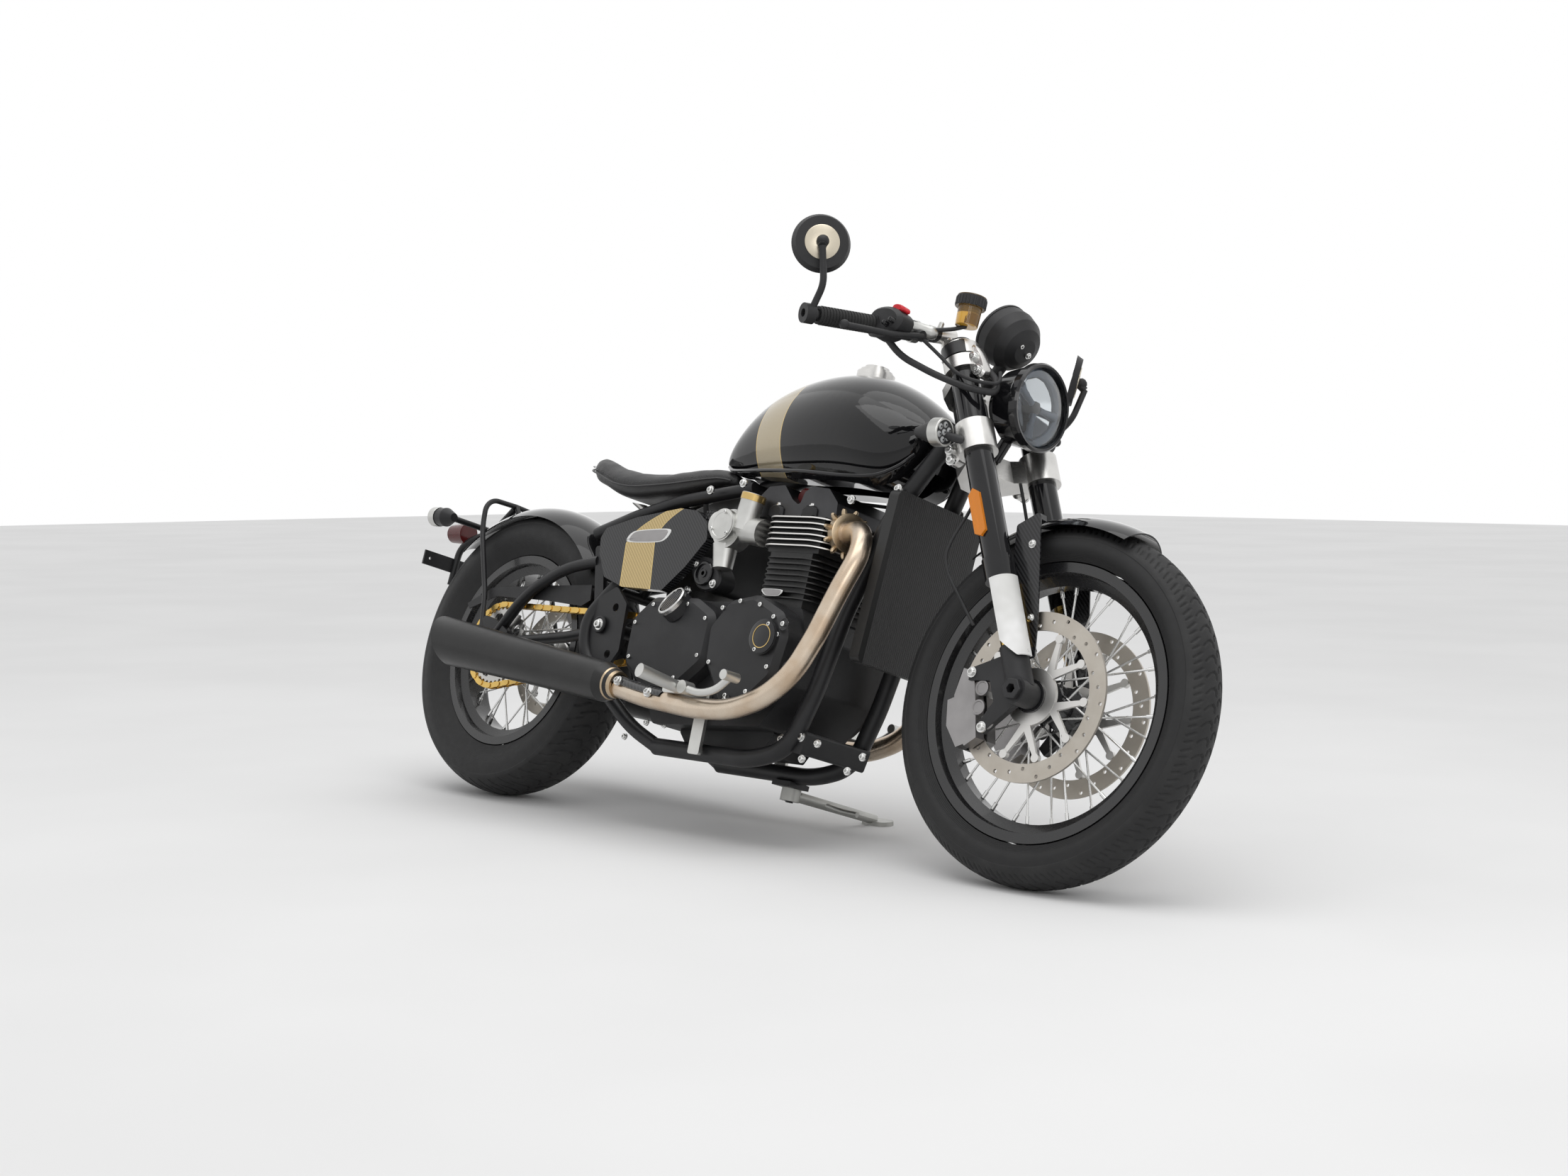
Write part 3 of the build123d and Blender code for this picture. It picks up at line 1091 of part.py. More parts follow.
nodes, bodies = build()
box = Compound(list(nodes.values())).bounding_box()
shift = Pos(-(box.min.X + box.max.X) / 2, -(box.min.Y + box.max.Y) / 2, 0)
os.makedirs("parts", exist_ok=True)
for name, shape in nodes.items():
    export_step(shift * shape, "parts/" + name + ".step")


def report(name, location, point, direction):
    """Print a joint or mount: its place and its direction in the finished frame."""
    place = (shift * park * location * Location(point)).position
    aim = turned(shift * park * location, direction)
    print("axis", name, *(round(v, 4) for v in (*place, *aim)))


report("steering", Pos(0, 0, 0), ahead(0, 0, 936), (AXIS_X, 0, AXIS_Z))
report("front_wheel_spin", steer_turn, FRONT_AXLE, (0, 1, 0))
report("rear_wheel_spin", Pos(0, 0, 0), REAR_AXLE, (0, 1, 0))
report("front_axle_bore", steer_turn, FRONT_AXLE, (0, 1, 0))
report("rear_axle_bore", Pos(0, 0, 0), REAR_AXLE, (0, 1, 0))
report("plate_holes", Pos(0, 0, 0), (-360.5, 0, 516), (-1, 0, 0))
report("stand_swing", Pos(0, 0, 0), (STAND_PIVOT[0], STAND_PIVOT[1], STAND_TOP), (0, 0, 1))
print("bodies", bodies)
print("shift", shift.position, "lift", round(lift, 3), "nose", round(nose_down, 4), "box", box)
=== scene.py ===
# %% [markdown]
# This scene dresses a bobber motorcycle: a low single-seat machine with a fat front tyre, a finned
# parallel twin and an upside-down fork, leaning on its side stand. The solid shapes come packed from
# the CAD model, and this file gives them their finishes and adds the fine pieces: seat cover, bolts,
# tread, lamp insides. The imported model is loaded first, because every piece is placed by it.

import json
import math

import bmesh
import bpy
import numpy as np
from mathutils import Matrix, Vector


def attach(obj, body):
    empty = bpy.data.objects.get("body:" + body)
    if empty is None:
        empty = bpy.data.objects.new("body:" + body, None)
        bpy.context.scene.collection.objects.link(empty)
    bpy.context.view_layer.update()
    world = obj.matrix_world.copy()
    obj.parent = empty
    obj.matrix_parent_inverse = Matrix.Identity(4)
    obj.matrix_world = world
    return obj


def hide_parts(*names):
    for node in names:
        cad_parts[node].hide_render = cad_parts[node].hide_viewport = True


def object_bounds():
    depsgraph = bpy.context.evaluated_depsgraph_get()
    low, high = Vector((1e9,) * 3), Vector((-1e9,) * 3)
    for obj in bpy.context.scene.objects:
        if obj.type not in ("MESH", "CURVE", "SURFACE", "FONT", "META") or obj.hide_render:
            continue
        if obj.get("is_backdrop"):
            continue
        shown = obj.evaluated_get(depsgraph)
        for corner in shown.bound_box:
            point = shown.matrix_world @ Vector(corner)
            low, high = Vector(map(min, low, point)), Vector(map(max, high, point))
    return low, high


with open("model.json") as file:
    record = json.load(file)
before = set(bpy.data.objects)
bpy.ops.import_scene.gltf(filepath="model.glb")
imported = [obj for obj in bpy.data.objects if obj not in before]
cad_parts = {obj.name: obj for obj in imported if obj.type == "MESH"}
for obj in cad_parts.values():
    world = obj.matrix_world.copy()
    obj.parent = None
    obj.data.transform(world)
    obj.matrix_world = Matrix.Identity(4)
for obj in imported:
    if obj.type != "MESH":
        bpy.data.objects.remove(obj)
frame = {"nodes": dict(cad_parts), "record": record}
cad_low, cad_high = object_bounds()
nodes = frame["nodes"]
joints = {joint["name"]: joint for joint in frame["record"]["behaviour"]["joints"]}
print("nodes", len(nodes), "size", [round(v, 3) for v in cad_high - cad_low])

# %% [markdown]
# The machine leans to its left and its fork is turned a little, but it is far easier to place a bolt
# or a seam on an upright machine. So pieces are measured in millimetres on the upright machine, x
# forward from the rear axle, y to the rider's left, z up from the ground, and two functions carry
# them to their parked places. Both are built from the joints, whose axes say how the machine stands.

# %% Upright millimetres to parked metres
REAR_AXLE_Z = 323.0
RAKE = math.radians(25.8)
WHEELBASE, TRAIL = 1512.0, 88.0

axle_place = np.array(joints["rear_wheel_spin"]["pos_m"])
left_dir = np.array(joints["rear_wheel_spin"]["axis"])
up_dir = np.array(joints["stand_swing"]["axis"])
ahead_dir = np.cross(left_dir, up_dir)
parked = np.array([ahead_dir, left_dir, up_dir])
fork_left = np.array(joints["front_wheel_spin"]["axis"]) @ parked.T
steer_axis = np.array([-math.sin(RAKE), 0.0, math.cos(RAKE)])
fork_ahead = np.cross([0.0, 1.0, 0.0], steer_axis)
steer_angle = math.atan2(np.dot(np.cross([0, 1, 0], fork_left), steer_axis), fork_left[1])
steer_turn = np.array(Matrix.Rotation(steer_angle, 3, Vector(steer_axis)))
steer_foot = np.array([WHEELBASE + TRAIL, 0, 0])


def on_frame(points):
    """Upright millimetres to the row frame: shift to the rear axle, then turn by the lean."""
    points = np.asarray(points, float)
    return (points - [0, 0, REAR_AXLE_Z]) / 1000 @ parked + axle_place


def on_fork(points):
    """The same for the steered front end: first turned about the steering axis."""
    return on_frame((np.asarray(points, float) - steer_foot) @ steer_turn.T + steer_foot)


def up_fork(n, y, s):
    """Point on the unsteered fork, for on_fork: n ahead of the steering axis, y left, s up along it."""
    return np.array([WHEELBASE + TRAIL, y, 0]) + steer_axis * s + fork_ahead * n


print("steering turned", round(math.degrees(steer_angle), 2), "degrees")

# %% [markdown]
# The camera stands where the photographer stood: at hip height, ahead and to the machine's right, with
# a moderately long lens. Its place was solved from the wheels and axles in the picture, so it is
# written from the rear axle. It doesn't shift or blur.

# %% Camera
eye = axle_place + np.array([3.9507, -3.0775, 0.44905])
yaw, pitch = math.radians(135.415), math.radians(-3.43)
look = Vector((math.cos(pitch) * math.cos(yaw), math.cos(pitch) * math.sin(yaw), math.sin(pitch)))
camera = bpy.data.objects.new("camera", bpy.data.cameras.new("camera"))
bpy.context.collection.objects.link(camera)
camera.location = eye
camera.rotation_euler = look.to_track_quat("-Z", "Y").to_euler()
camera.data.sensor_width = 36.0
camera.data.lens = 50.42
camera.data.clip_end = 60.0
bpy.context.scene.camera = camera
print("camera at", [round(float(v), 3) for v in eye])

# %% [markdown]
# Shader maths reads best as arithmetic. A Field wraps a socket, and adding, multiplying or comparing
# fields adds the Math nodes. A Finish is one material: its node method makes any other node from its
# type, its settings and the values or links of its sockets. Plain numbers stay in Python.

# %% Materials as expressions
class Field:
    """A socket that varies over a surface; arithmetic on it adds Math nodes."""

    def __init__(self, finish, socket):
        self.finish, self.socket = finish, socket

    def math(self, operation, *values):
        return self.finish.node("ShaderNodeMath", {"operation": operation}, dict(enumerate((self, *values))))

    def __add__(self, other):
        return self.math("ADD", other)

    def __mul__(self, other):
        return self.math("MULTIPLY", other)

    def __sub__(self, other):
        return self.math("SUBTRACT", other)

    def __rsub__(self, other):
        return self.math("MULTIPLY_ADD", -1.0, other)

    def __truediv__(self, other):
        return self.math("DIVIDE", other)

    def __gt__(self, other):
        return self.math("GREATER_THAN", other)

    def __lt__(self, other):
        return self.math("LESS_THAN", other)

    __radd__ = __add__
    __rmul__ = __mul__

    def __abs__(self):
        return self.math("ABSOLUTE")

    def at_least(self, low):
        """The field, or low where it is below."""
        return self.math("MAXIMUM", low)

    def step(self, low, high):
        """0 below low, 1 above high, eased in between."""
        settings = {"interpolation_type": "SMOOTHSTEP", "clamp": True}
        return self.finish.node("ShaderNodeMapRange", settings, {0: self, 1: low, 2: high})

    def band(self, low, high, edge):
        """1 between low and high, with soft edges."""
        return self.step(low - edge, low) * (1 - self.step(high, high + edge))


class Finish:
    """A material: a principled surface and the nodes that feed it."""

    def __init__(self, name, color, roughness=0.5, metallic=0.0, **constants):
        self.material = bpy.data.materials.new(name)
        self.material.use_nodes = True
        self.tree = self.material.node_tree
        self.shader = self.tree.nodes["Principled BSDF"]
        self.set("Base Color", color)
        self.set("Roughness", roughness)
        self.set("Metallic", metallic)
        for key, value in constants.items():
            self.set(key.replace("_", " ").title().replace("Ior", "IOR"), value)
        self.place = None

    def feed(self, socket, value):
        """Link a field, or set a constant, a colour gaining its alpha."""
        if isinstance(value, Field):
            self.tree.links.new(value.socket, socket)
        elif isinstance(value, (tuple, list)) and socket.type == "RGBA":
            socket.default_value = (*value[:3], 1.0)
        else:
            socket.default_value = value

    def set(self, name, value):
        self.feed(self.shader.inputs[name], value)
        return self

    def node(self, kind, settings=None, sockets=None, output=0):
        """One node: its settings first, then its sockets by name or number."""
        node = self.tree.nodes.new(kind)
        for key, value in (settings or {}).items():
            if key == "stops":
                ramp = node.color_ramp
                while len(ramp.elements) < len(value):
                    ramp.elements.new(0.5)
                for element, (position, color) in zip(ramp.elements, value):
                    element.position, element.color = position, (*color, 1.0)
            else:
                setattr(node, key, value)
        for key, value in (sockets or {}).items():
            self.feed(node.inputs[key], value)
        return Field(self, node.outputs[output])

    def where(self):
        """The place on the object, in metres in the row frame."""
        if self.place is None:
            self.place = self.node("ShaderNodeTexCoord", output="Object")
        return self.place

    def noise(self, scale, detail=3.0, rough=0.55, vector=None):
        """Cloudy noise about 0.5; scale is its lumps per metre."""
        sockets = {"Vector": vector or self.where(), "Scale": scale, "Detail": detail, "Roughness": rough}
        return self.node("ShaderNodeTexNoise", None, sockets)

    def upright(self, steered=False):
        """x, y, z on the upright machine in metres, from the row frame."""
        turn = parked if not steered else steer_turn.T @ parked
        centre = axle_place if not steered else on_frame(steer_foot)
        rest = np.array([0, 0, REAR_AXLE_Z / 1000]) if not steered else steer_foot / 1000
        ends = {0: self.where(), 1: tuple(float(v) for v in centre)}
        shifted = self.node("ShaderNodeVectorMath", {"operation": "SUBTRACT"}, ends)
        found = []
        for row, offset in zip(turn, rest):
            ends = {0: shifted, 1: tuple(float(v) for v in row)}
            dot = self.node("ShaderNodeVectorMath", {"operation": "DOT_PRODUCT"}, ends, output="Value")
            found.append(dot + float(offset))
        return found

    def mix(self, factor, first, second):
        """A colour between two, by a field."""
        return self.node("ShaderNodeMix", {"data_type": "RGBA"}, {0: factor, 6: first, 7: second}, output=2)

    def bump(self, height, depth, strength=1.0):
        """Fine relief: height times depth in metres tips the normal."""
        sockets = {"Height": height, "Distance": depth, "Strength": strength}
        normal = self.node("ShaderNodeBump", None, sockets)
        self.tree.links.new(normal.socket, self.shader.inputs["Normal"])
        return self


def dress(finish, *names):
    """Give CAD nodes a material."""
    for name in names:
        mesh = nodes[name].data
        mesh.materials.clear()
        mesh.materials.append(finish.material)


print("material tools ready")

# %% [markdown]
# A plain pale studio: a wide flat floor, one soft lamp overhead like a ceiling panel, a smaller one near
# the camera, a faint and very wide sun that evens out the floor, and an even world. The world is white to
# the camera and in reflections, and dimmer as a light, so that colours render about as they are written.

# %% Studio
FLOOR_REACH, FLOOR_LINES, WORLD_LIGHT = 20.0, 9, 0.58


def grid_quads(index):
    """Quads that join each number of a grid to the next one along and the next one down."""
    return np.stack([index[:-1, :-1], index[:-1, 1:], index[1:, 1:], index[1:, :-1]], -1).reshape(-1, 4)


reach = np.linspace(-FLOOR_REACH, FLOOR_REACH, FLOOR_LINES)
corners = [(x, y, 0) for x in reach for y in reach]
plane = bpy.data.meshes.new("floor")
plane.from_pydata(corners, [], grid_quads(np.arange(FLOOR_LINES**2).reshape(FLOOR_LINES, -1)).tolist())
plane.polygons.foreach_set("use_smooth", np.ones(len(plane.polygons), bool))
floor = bpy.data.objects.new("floor", plane)
bpy.context.collection.objects.link(floor)
floor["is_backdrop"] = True
paper = Finish("studio_paper", (0.8, 0.8, 0.8), roughness=0.9)
paper.set("Base Color", paper.mix(paper.noise(0.8).step(0.3, 0.7), (0.86, 0.86, 0.86), (0.9, 0.9, 0.9)))
floor.data.materials.append(paper.material)

world = bpy.data.worlds.new("studio")
bpy.context.scene.world = world
world.use_nodes = True
links, sky = world.node_tree.links, world.node_tree.nodes["Background"]
path = world.node_tree.nodes.new("ShaderNodeLightPath")
seen = path.outputs["Is Camera Ray"]
for ray in ("Is Glossy Ray", "Is Transmission Ray"):
    either = world.node_tree.nodes.new("ShaderNodeMath")
    either.operation = "MAXIMUM"
    links.new(seen, either.inputs[0])
    links.new(path.outputs[ray], either.inputs[1])
    seen = either.outputs[0]
level = world.node_tree.nodes.new("ShaderNodeMapRange")
level.inputs["To Min"].default_value = WORLD_LIGHT
level.inputs["To Max"].default_value = 1.0
links.new(seen, level.inputs["Value"])
links.new(level.outputs[0], sky.inputs["Strength"])
sky.inputs["Color"].default_value = (1, 1, 1, 1)


def soft_lamp(name, place, aim, size, power):
    """A rectangular area lamp at place that faces aim."""
    lamp = bpy.data.objects.new(name, bpy.data.lights.new(name, "AREA"))
    bpy.context.collection.objects.link(lamp)
    lamp.data.shape = "RECTANGLE"
    lamp.data.size, lamp.data.size_y = size
    lamp.data.energy = power
    lamp.location = place
    lamp.rotation_euler = (Vector(aim) - Vector(place)).to_track_quat("-Z", "Y").to_euler()


soft_lamp("ceiling_panel", (0.5, -0.6, 3.6), (0, 0, 0.3), (3.6, 2.4), 30)
soft_lamp("camera_side_panel", (3.6, -2.2, 2.4), (0.2, -0.2, 0.5), (1.6, 1.2), 14)
even = bpy.data.objects.new("even_sky", bpy.data.lights.new("even_sky", "SUN"))
even.data.energy, even.data.angle = 0.55, math.radians(60)
bpy.context.collection.objects.link(even)
bpy.context.scene.view_settings.view_transform = "Standard"
print("studio lit")

# %% [markdown]
# The finishes come next, grouped by what they are: black paints, metals, rubber, carbon, lenses. Each
# has the small unevenness the real one has, such as orange peel in powder coat, fine turning marks in
# machined metal and long brush lines in steel, fed through roughness and a shallow bump.

# %% Black paints
def coat_paint(name, color, roughness, peel, coat=0.0):
    """Paint over metal: faint mottling of colour, and orange peel as bump."""
    shine = 0.1 if coat else 0.32
    paint = Finish(name, color, roughness, coat_weight=coat, coat_roughness=0.03, coat_ior=1.38)
    paint.set("Specular IOR Level", shine)
    cloud = paint.noise(9.0)
    lighter = tuple(min(1.0, c * 1.6 + 0.002) for c in color)
    paint.set("Base Color", paint.mix(cloud.step(0.35, 0.75), color, lighter))
    paint.set("Roughness", paint.noise(40.0) * (roughness * 0.3) + roughness * 0.85)
    paint.bump(paint.noise(1400.0, 2.0), peel)
    return paint


frame_paint = coat_paint("satin_frame_paint", (0.012, 0.012, 0.013), 0.36, 0.00018)
cover_paint = coat_paint("satin_cover_paint", (0.014, 0.014, 0.015), 0.42, 0.00028)
muffler_paint = coat_paint("ceramic_muffler_paint", (0.011, 0.011, 0.011), 0.33, 0.0001)
gloss_paint = coat_paint("gloss_black_paint", (0.006, 0.006, 0.007), 0.1, 0.00002, 1.0)
satin_plastic = coat_paint("satin_plastic", (0.017, 0.017, 0.018), 0.46, 0.0002)
print("paints", len(bpy.data.materials))

# %% [markdown]
# The tank is gloss black with one champagne band round its rear, edged by thin brighter lines. The band
# is a mask in the upright machine's own coordinates, where both its edges are planes across the machine,
# so the mask is two steps in x.

# %% Tank paint
tank_paint = Finish("tank_paint", (0.006, 0.006, 0.007), 0.09, coat_weight=1.0, coat_roughness=0.02)
tank_paint.set("Coat IOR", 1.38)
tank_paint.set("Specular IOR Level", 0.08)
x, _, _ = tank_paint.upright()
inside = (x > 0.697) * (x < 0.786)
line = (x > 0.6995) * (x < 0.7835)
gold_line = inside * (1 - line)
flake = tank_paint.noise(2600.0, 1.0)
champagne = tank_paint.mix(flake.step(0.35, 0.7), (0.36, 0.30, 0.20), (0.52, 0.45, 0.32))
base = tank_paint.mix(tank_paint.noise(7.0), (0.004, 0.004, 0.0045), (0.007, 0.007, 0.008))
color = tank_paint.mix(inside, base, champagne)
tank_paint.set("Base Color", tank_paint.mix(gold_line, color, (0.62, 0.46, 0.2)))
tank_paint.set("Metallic", inside * 0.55)
tank_paint.set("Roughness", inside * 0.22 + 0.09)
tank_paint.bump(tank_paint.noise(60.0, 1.0), 0.00002)
dress(tank_paint, "fuel_tank")
print("tank painted")

# %% [markdown]
# Metals differ by how they were worked. Castings and anodised parts are evenly frosted; machined clamps
# carry fine lines; brushed steel has long streaks, made by stretching noise along one direction.

# %% Metals
def worked_metal(name, color, roughness, grain=900.0, stretch=(1, 1, 1), depth=0.00003, tint=None):
    """Bare metal: colour clouds, and grain stretched along one axis in roughness and bump."""
    metal = Finish(name, color, roughness, 1.0)
    darker = tint or tuple(c * 0.8 for c in color)
    metal.set("Base Color", metal.mix(metal.noise(14.0).step(0.3, 0.75), color, darker))
    mapped = metal.node("ShaderNodeMapping", None, {"Vector": metal.where(), "Scale": stretch})
    grained = metal.noise(grain, 2.0, vector=mapped)
    metal.set("Roughness", grained * 0.22 + (roughness - 0.11))
    metal.bump(grained, depth)
    return metal


cast_silver = worked_metal("satin_anodised_silver", (0.62, 0.62, 0.6), 0.38, 1600.0)
machined = worked_metal("machined_silver", (0.72, 0.71, 0.69), 0.27, 1200.0, (1, 1, 6))
header_steel = worked_metal(
    "brushed_header_steel", (0.62, 0.53, 0.43), 0.3, 500.0, (1, 5, 1), 0.00004, (0.5, 0.38, 0.27)
)
steel = worked_metal("ground_steel", (0.56, 0.55, 0.53), 0.33, 700.0, (1, 5, 1))
titanium = worked_metal("grey_anodised", (0.33, 0.32, 0.32), 0.4, 1500.0)
dark_cast = worked_metal("dark_cast_cover", (0.075, 0.075, 0.078), 0.45, 1300.0)
gold_tube = worked_metal("gold_nitride", (0.83, 0.56, 0.16), 0.22, 900.0, (1, 1, 1), 0.00001)
chain_gold = worked_metal("gold_chain", (0.72, 0.49, 0.15), 0.34, 1500.0)
stand_grey = worked_metal("stand_grey", (0.45, 0.45, 0.43), 0.5, 1500.0)
print("metals ready")

# %% [markdown]
# Black fins with their edges skimmed bright are a mark of this engine. The head's fins are bright along
# their outer rim, so the mask asks how far out a point is from the middle of the block, on the upright
# machine: past the rim line it is bare metal, inside it is black.

# %% Fins
BLOCK_MIDDLE_X, CORNER_R = 0.888, 0.046


def fin_finish(name, rim_half_width, rim_half_length, bright):
    """Black casting with bright rims where a point is far out across or along the engine."""
    metal = Finish(name, (0.012, 0.012, 0.012), 0.42, 0.0)
    x, y, _ = metal.upright()
    near_y = ((abs(y) - rim_half_width) / CORNER_R).at_least(0.0)
    near_x = ((abs(x - BLOCK_MIDDLE_X) - rim_half_length) / CORNER_R).at_least(0.0)
    reach = near_x * near_x + near_y * near_y
    rim = reach.step(0.955, 0.975) * bright
    metal.set("Metallic", rim)
    metal.set("Base Color", metal.mix(rim, (0.012, 0.012, 0.012), (0.75, 0.74, 0.72)))
    metal.set("Roughness", metal.noise(900.0) * 0.2 + 0.3)
    metal.bump(metal.noise(1500.0, 2.0), 0.0002)
    return metal


dress(fin_finish("head_fins", 0.083, 0.044, 1.0), "cylinder_head")
dress(fin_finish("barrel_fins", 0.080, 0.034, 0.12), "cylinder_barrels")

# %% [markdown]
# Carbon fibre is a twill: bundles of fibre pass over two and under two, so each little square shines one
# way or the other, under clear lacquer. A checker shifted row by row gives the squares; they differ in
# colour and roughness. The side panels carry a wide gold band over it, whose edges bow forward as they
# climb: each is a straight line below mid height and a square curve above it.

# %% Carbon
TWILL_PER_METRE, BAND_MIDDLE_Z = 450, 0.56


def carbon_finish(name, banded):
    """Twill squares of 2.2 mm from the place along and up the machine, lacquered."""
    carbon = Finish(name, (0.02, 0.02, 0.021), 0.3, coat_weight=0.8, coat_roughness=0.04, coat_ior=1.4)
    carbon.set("Specular IOR Level", 0.2)
    x, _, z = carbon.upright()
    column = (x * TWILL_PER_METRE).math("FLOOR")
    row = (z * TWILL_PER_METRE).math("FLOOR")
    twill = (column + row).math("FLOORED_MODULO", 4.0) > 1.5
    weave = carbon.mix(twill, (0.008, 0.008, 0.009), (0.03, 0.03, 0.032))
    if banded:
        above = (z - BAND_MIDDLE_Z).at_least(0.0)
        below = (BAND_MIDDLE_Z - z).at_least(0.0)
        rear = above * 0.505 + above * above * 12.97 + below * 0.115 + 0.412
        fore = above * -0.151 + above * above * 12.3 + below * 0.18 + 0.504
        inside = (x - rear > 0.0) * (fore - x > 0.0)
        rim = (x - rear > 0.002) * (fore - x > 0.002)
        gold = carbon.mix(twill, (0.42, 0.31, 0.13), (0.55, 0.42, 0.2))
        weave = carbon.mix(inside, weave, (0.7, 0.52, 0.2))
        weave = carbon.mix(rim, weave, gold)
        carbon.set("Metallic", inside * 0.6)
    carbon.set("Base Color", weave)
    carbon.set("Roughness", twill * 0.12 + 0.26)
    return carbon


dress(carbon_finish("carbon_panel", True), "side_panels")
carbon_plain = carbon_finish("carbon_plain", False)
dress(carbon_plain, "mudguard_stays")
print("carbon woven")

# %% [markdown]
# Tyres: matt rubber, dusty on the crown. Rings and a step on the wall are masks of the distance from the
# axle. The tread's grooves come later, as shape.

# %% Tyres
def from_axle(finish, axle, steered):
    """Distance from an axle, in metres."""
    x, _, z = finish.upright(steered)
    x, z = x - axle[0], z - axle[2]
    return (x * x + z * z).math("POWER", 0.5)


def tyre_finish(name, axle, steered, outer):
    """Rubber: dusty on the crown, with fine moulded rings and a shallow step on the wall."""
    rubber = Finish(name, (0.018, 0.018, 0.018), 0.62)
    rubber.set("Specular IOR Level", 0.35)
    radius = from_axle(rubber, axle, steered)
    rings = (radius * 2600.0).math("SINE")
    wall = radius.band(outer - 0.075, outer - 0.06, 0.003)
    step = radius.step(outer - 0.033, outer - 0.031)
    dust = rubber.noise(14.0).step(0.4, 0.8) * step
    rubber.set("Base Color", rubber.mix(dust, (0.015, 0.015, 0.0155), (0.028, 0.028, 0.028)))
    rubber.set("Roughness", rubber.noise(70.0) * 0.2 + 0.5)
    rubber.bump(rings * wall * 0.12 + step * 0.8 + rubber.noise(1500.0) * 0.12, 0.0012)
    return rubber


REAR_AXLE = (0.0, 0.0, 0.323)
FRONT_AXLE = (1.512, 0.0, 0.331)
front_rubber = tyre_finish("front_tyre_rubber", FRONT_AXLE, True, 0.331)
rear_rubber = tyre_finish("rear_tyre_rubber", REAR_AXLE, False, 0.323)
dress(front_rubber, "front_tyre")
dress(rear_rubber, "rear_tyre")
print("tyres coloured")

# %% [markdown]
# The rest of the solids take the finishes above. Lenses are glass-like with a little colour: clear for
# the headlamp, amber for the side reflectors, dark red for the tail lamp, smoked for the fluid pot.

# %% Lenses and the remaining solids
def lens_finish(name, color, roughness=0.05, transmission=0.85):
    """Coloured clear plastic with a faint ribbing."""
    lens = Finish(name, color, roughness, transmission_weight=transmission, ior=1.46)
    ribs = lens.node("ShaderNodeTexWave", {"wave_type": "BANDS"}, {"Vector": lens.where(), "Scale": 90.0})
    lens.bump(ribs, 0.0003, 0.5)
    return lens


amber = lens_finish("amber_lens", (0.9, 0.3, 0.02), 0.12, 0.3)
red_lens = lens_finish("red_lens", (0.1, 0.004, 0.004), 0.1, 0.2)
clear_lens = lens_finish("clear_lens", (0.92, 0.94, 0.95), 0.02, 1.0)
smoked = lens_finish("smoked_pot", (0.3, 0.17, 0.04), 0.1, 0.55)
bars = Finish("bar_paint_and_silver_clips", (0.012, 0.012, 0.013), 0.34)
_, y, _ = bars.upright(True)
clip = abs(y) < 0.127
bars.set("Base Color", bars.mix(clip, (0.012, 0.012, 0.013), (0.72, 0.71, 0.69)))
bars.set("Metallic", clip)
bars.set("Roughness", bars.noise(1200.0) * 0.1 + 0.26)
dress(bars, "handlebars")
white_lacquer = coat_paint("white_lacquer", (0.75, 0.75, 0.73), 0.25, 0.00004, 0.6)
grip_rubber = coat_paint("grip_rubber", (0.016, 0.016, 0.016), 0.6, 0.0003)

FINISHES = (
    (frame_paint, "backbone cradle_tubes swing_cage cross_plate mudguard_loop plate_holder rear_shock"),
    (cover_paint, "crankcase engine_covers"),
    (dark_cast, "cam_cover"),
    (machined, "filler_cap lower_clamp upper_clamp"),
    (cast_silver, "throttle_bodies foot_controls_left foot_controls_right"),
    (header_steel, "exhaust_header_left exhaust_header_right"),
    (muffler_paint, "muffler_left muffler_right"),
    (gloss_paint, "rear_mudguard front_mudguard fork_tubes headlamp_bowl"),
    (satin_plastic, "instrument_pod airbox bar_controls front_indicators chain_guard mirrors"),
    (satin_plastic, "seat bar_hoses fork_lugs"),
    (gold_tube, "fork_stanchions"),
    (white_lacquer, "fork_guards"),
    (titanium, "front_calipers rear_caliper"),
    (steel, "rear_sprocket seat_bracket"),
    (chain_gold, "drive_chain"),
    (stand_grey, "side_stand"),
    (grip_rubber, "grips"),
    (amber, "reflectors"),
    (red_lens, "tail_lamp"),
    (clear_lens, "headlamp_lens"),
    (smoked, "fluid_reservoir"),
)
for finish, names in FINISHES:
    dress(finish, *names.split())
bare = [name for name, node in nodes.items() if not node.data.materials or not node.data.materials[0]]
print("solids that get their finish further on:", bare)

# %% [markdown]
# New pieces are turned or swept surfaces. A lathe takes a profile of (distance along, radius) pairs and
# a place and direction, and returns a grid of points; a sweep carries a circle along a smooth line. One
# call then joins any number of grids into a mesh, closes the poles and rides it on a body.

# %% Turned and swept shapes
def basis(direction):
    """A unit vector and two more that stand square on it."""
    along = np.asarray(direction, float) / np.linalg.norm(direction)
    other = np.array([0, 0, 1.0]) if abs(along[2]) < 0.9 else np.array([1.0, 0, 0])
    first = np.cross(other, along)
    first /= np.linalg.norm(first)
    return along, first, np.cross(along, first)


def lathe(profile, place, direction, turns=32):
    """Point (i, j) = place + along * distance_i + radius_i * (first cos angle_j + second sin angle_j).

    A profile that starts away from the axis is closed into a ring.
    """
    along, first, second = basis(direction)
    profile = np.asarray(profile, float)
    if profile[0, 1] > 0:
        profile = np.vstack([profile, profile[:1]])
    angle = np.linspace(0, 2 * math.pi, turns + 1)[:-1]
    ring = first * np.cos(angle)[:, None] + second * np.sin(angle)[:, None]
    return np.asarray(place) + along * profile[:, 0, None, None] + profile[:, 1, None, None] * ring[None]


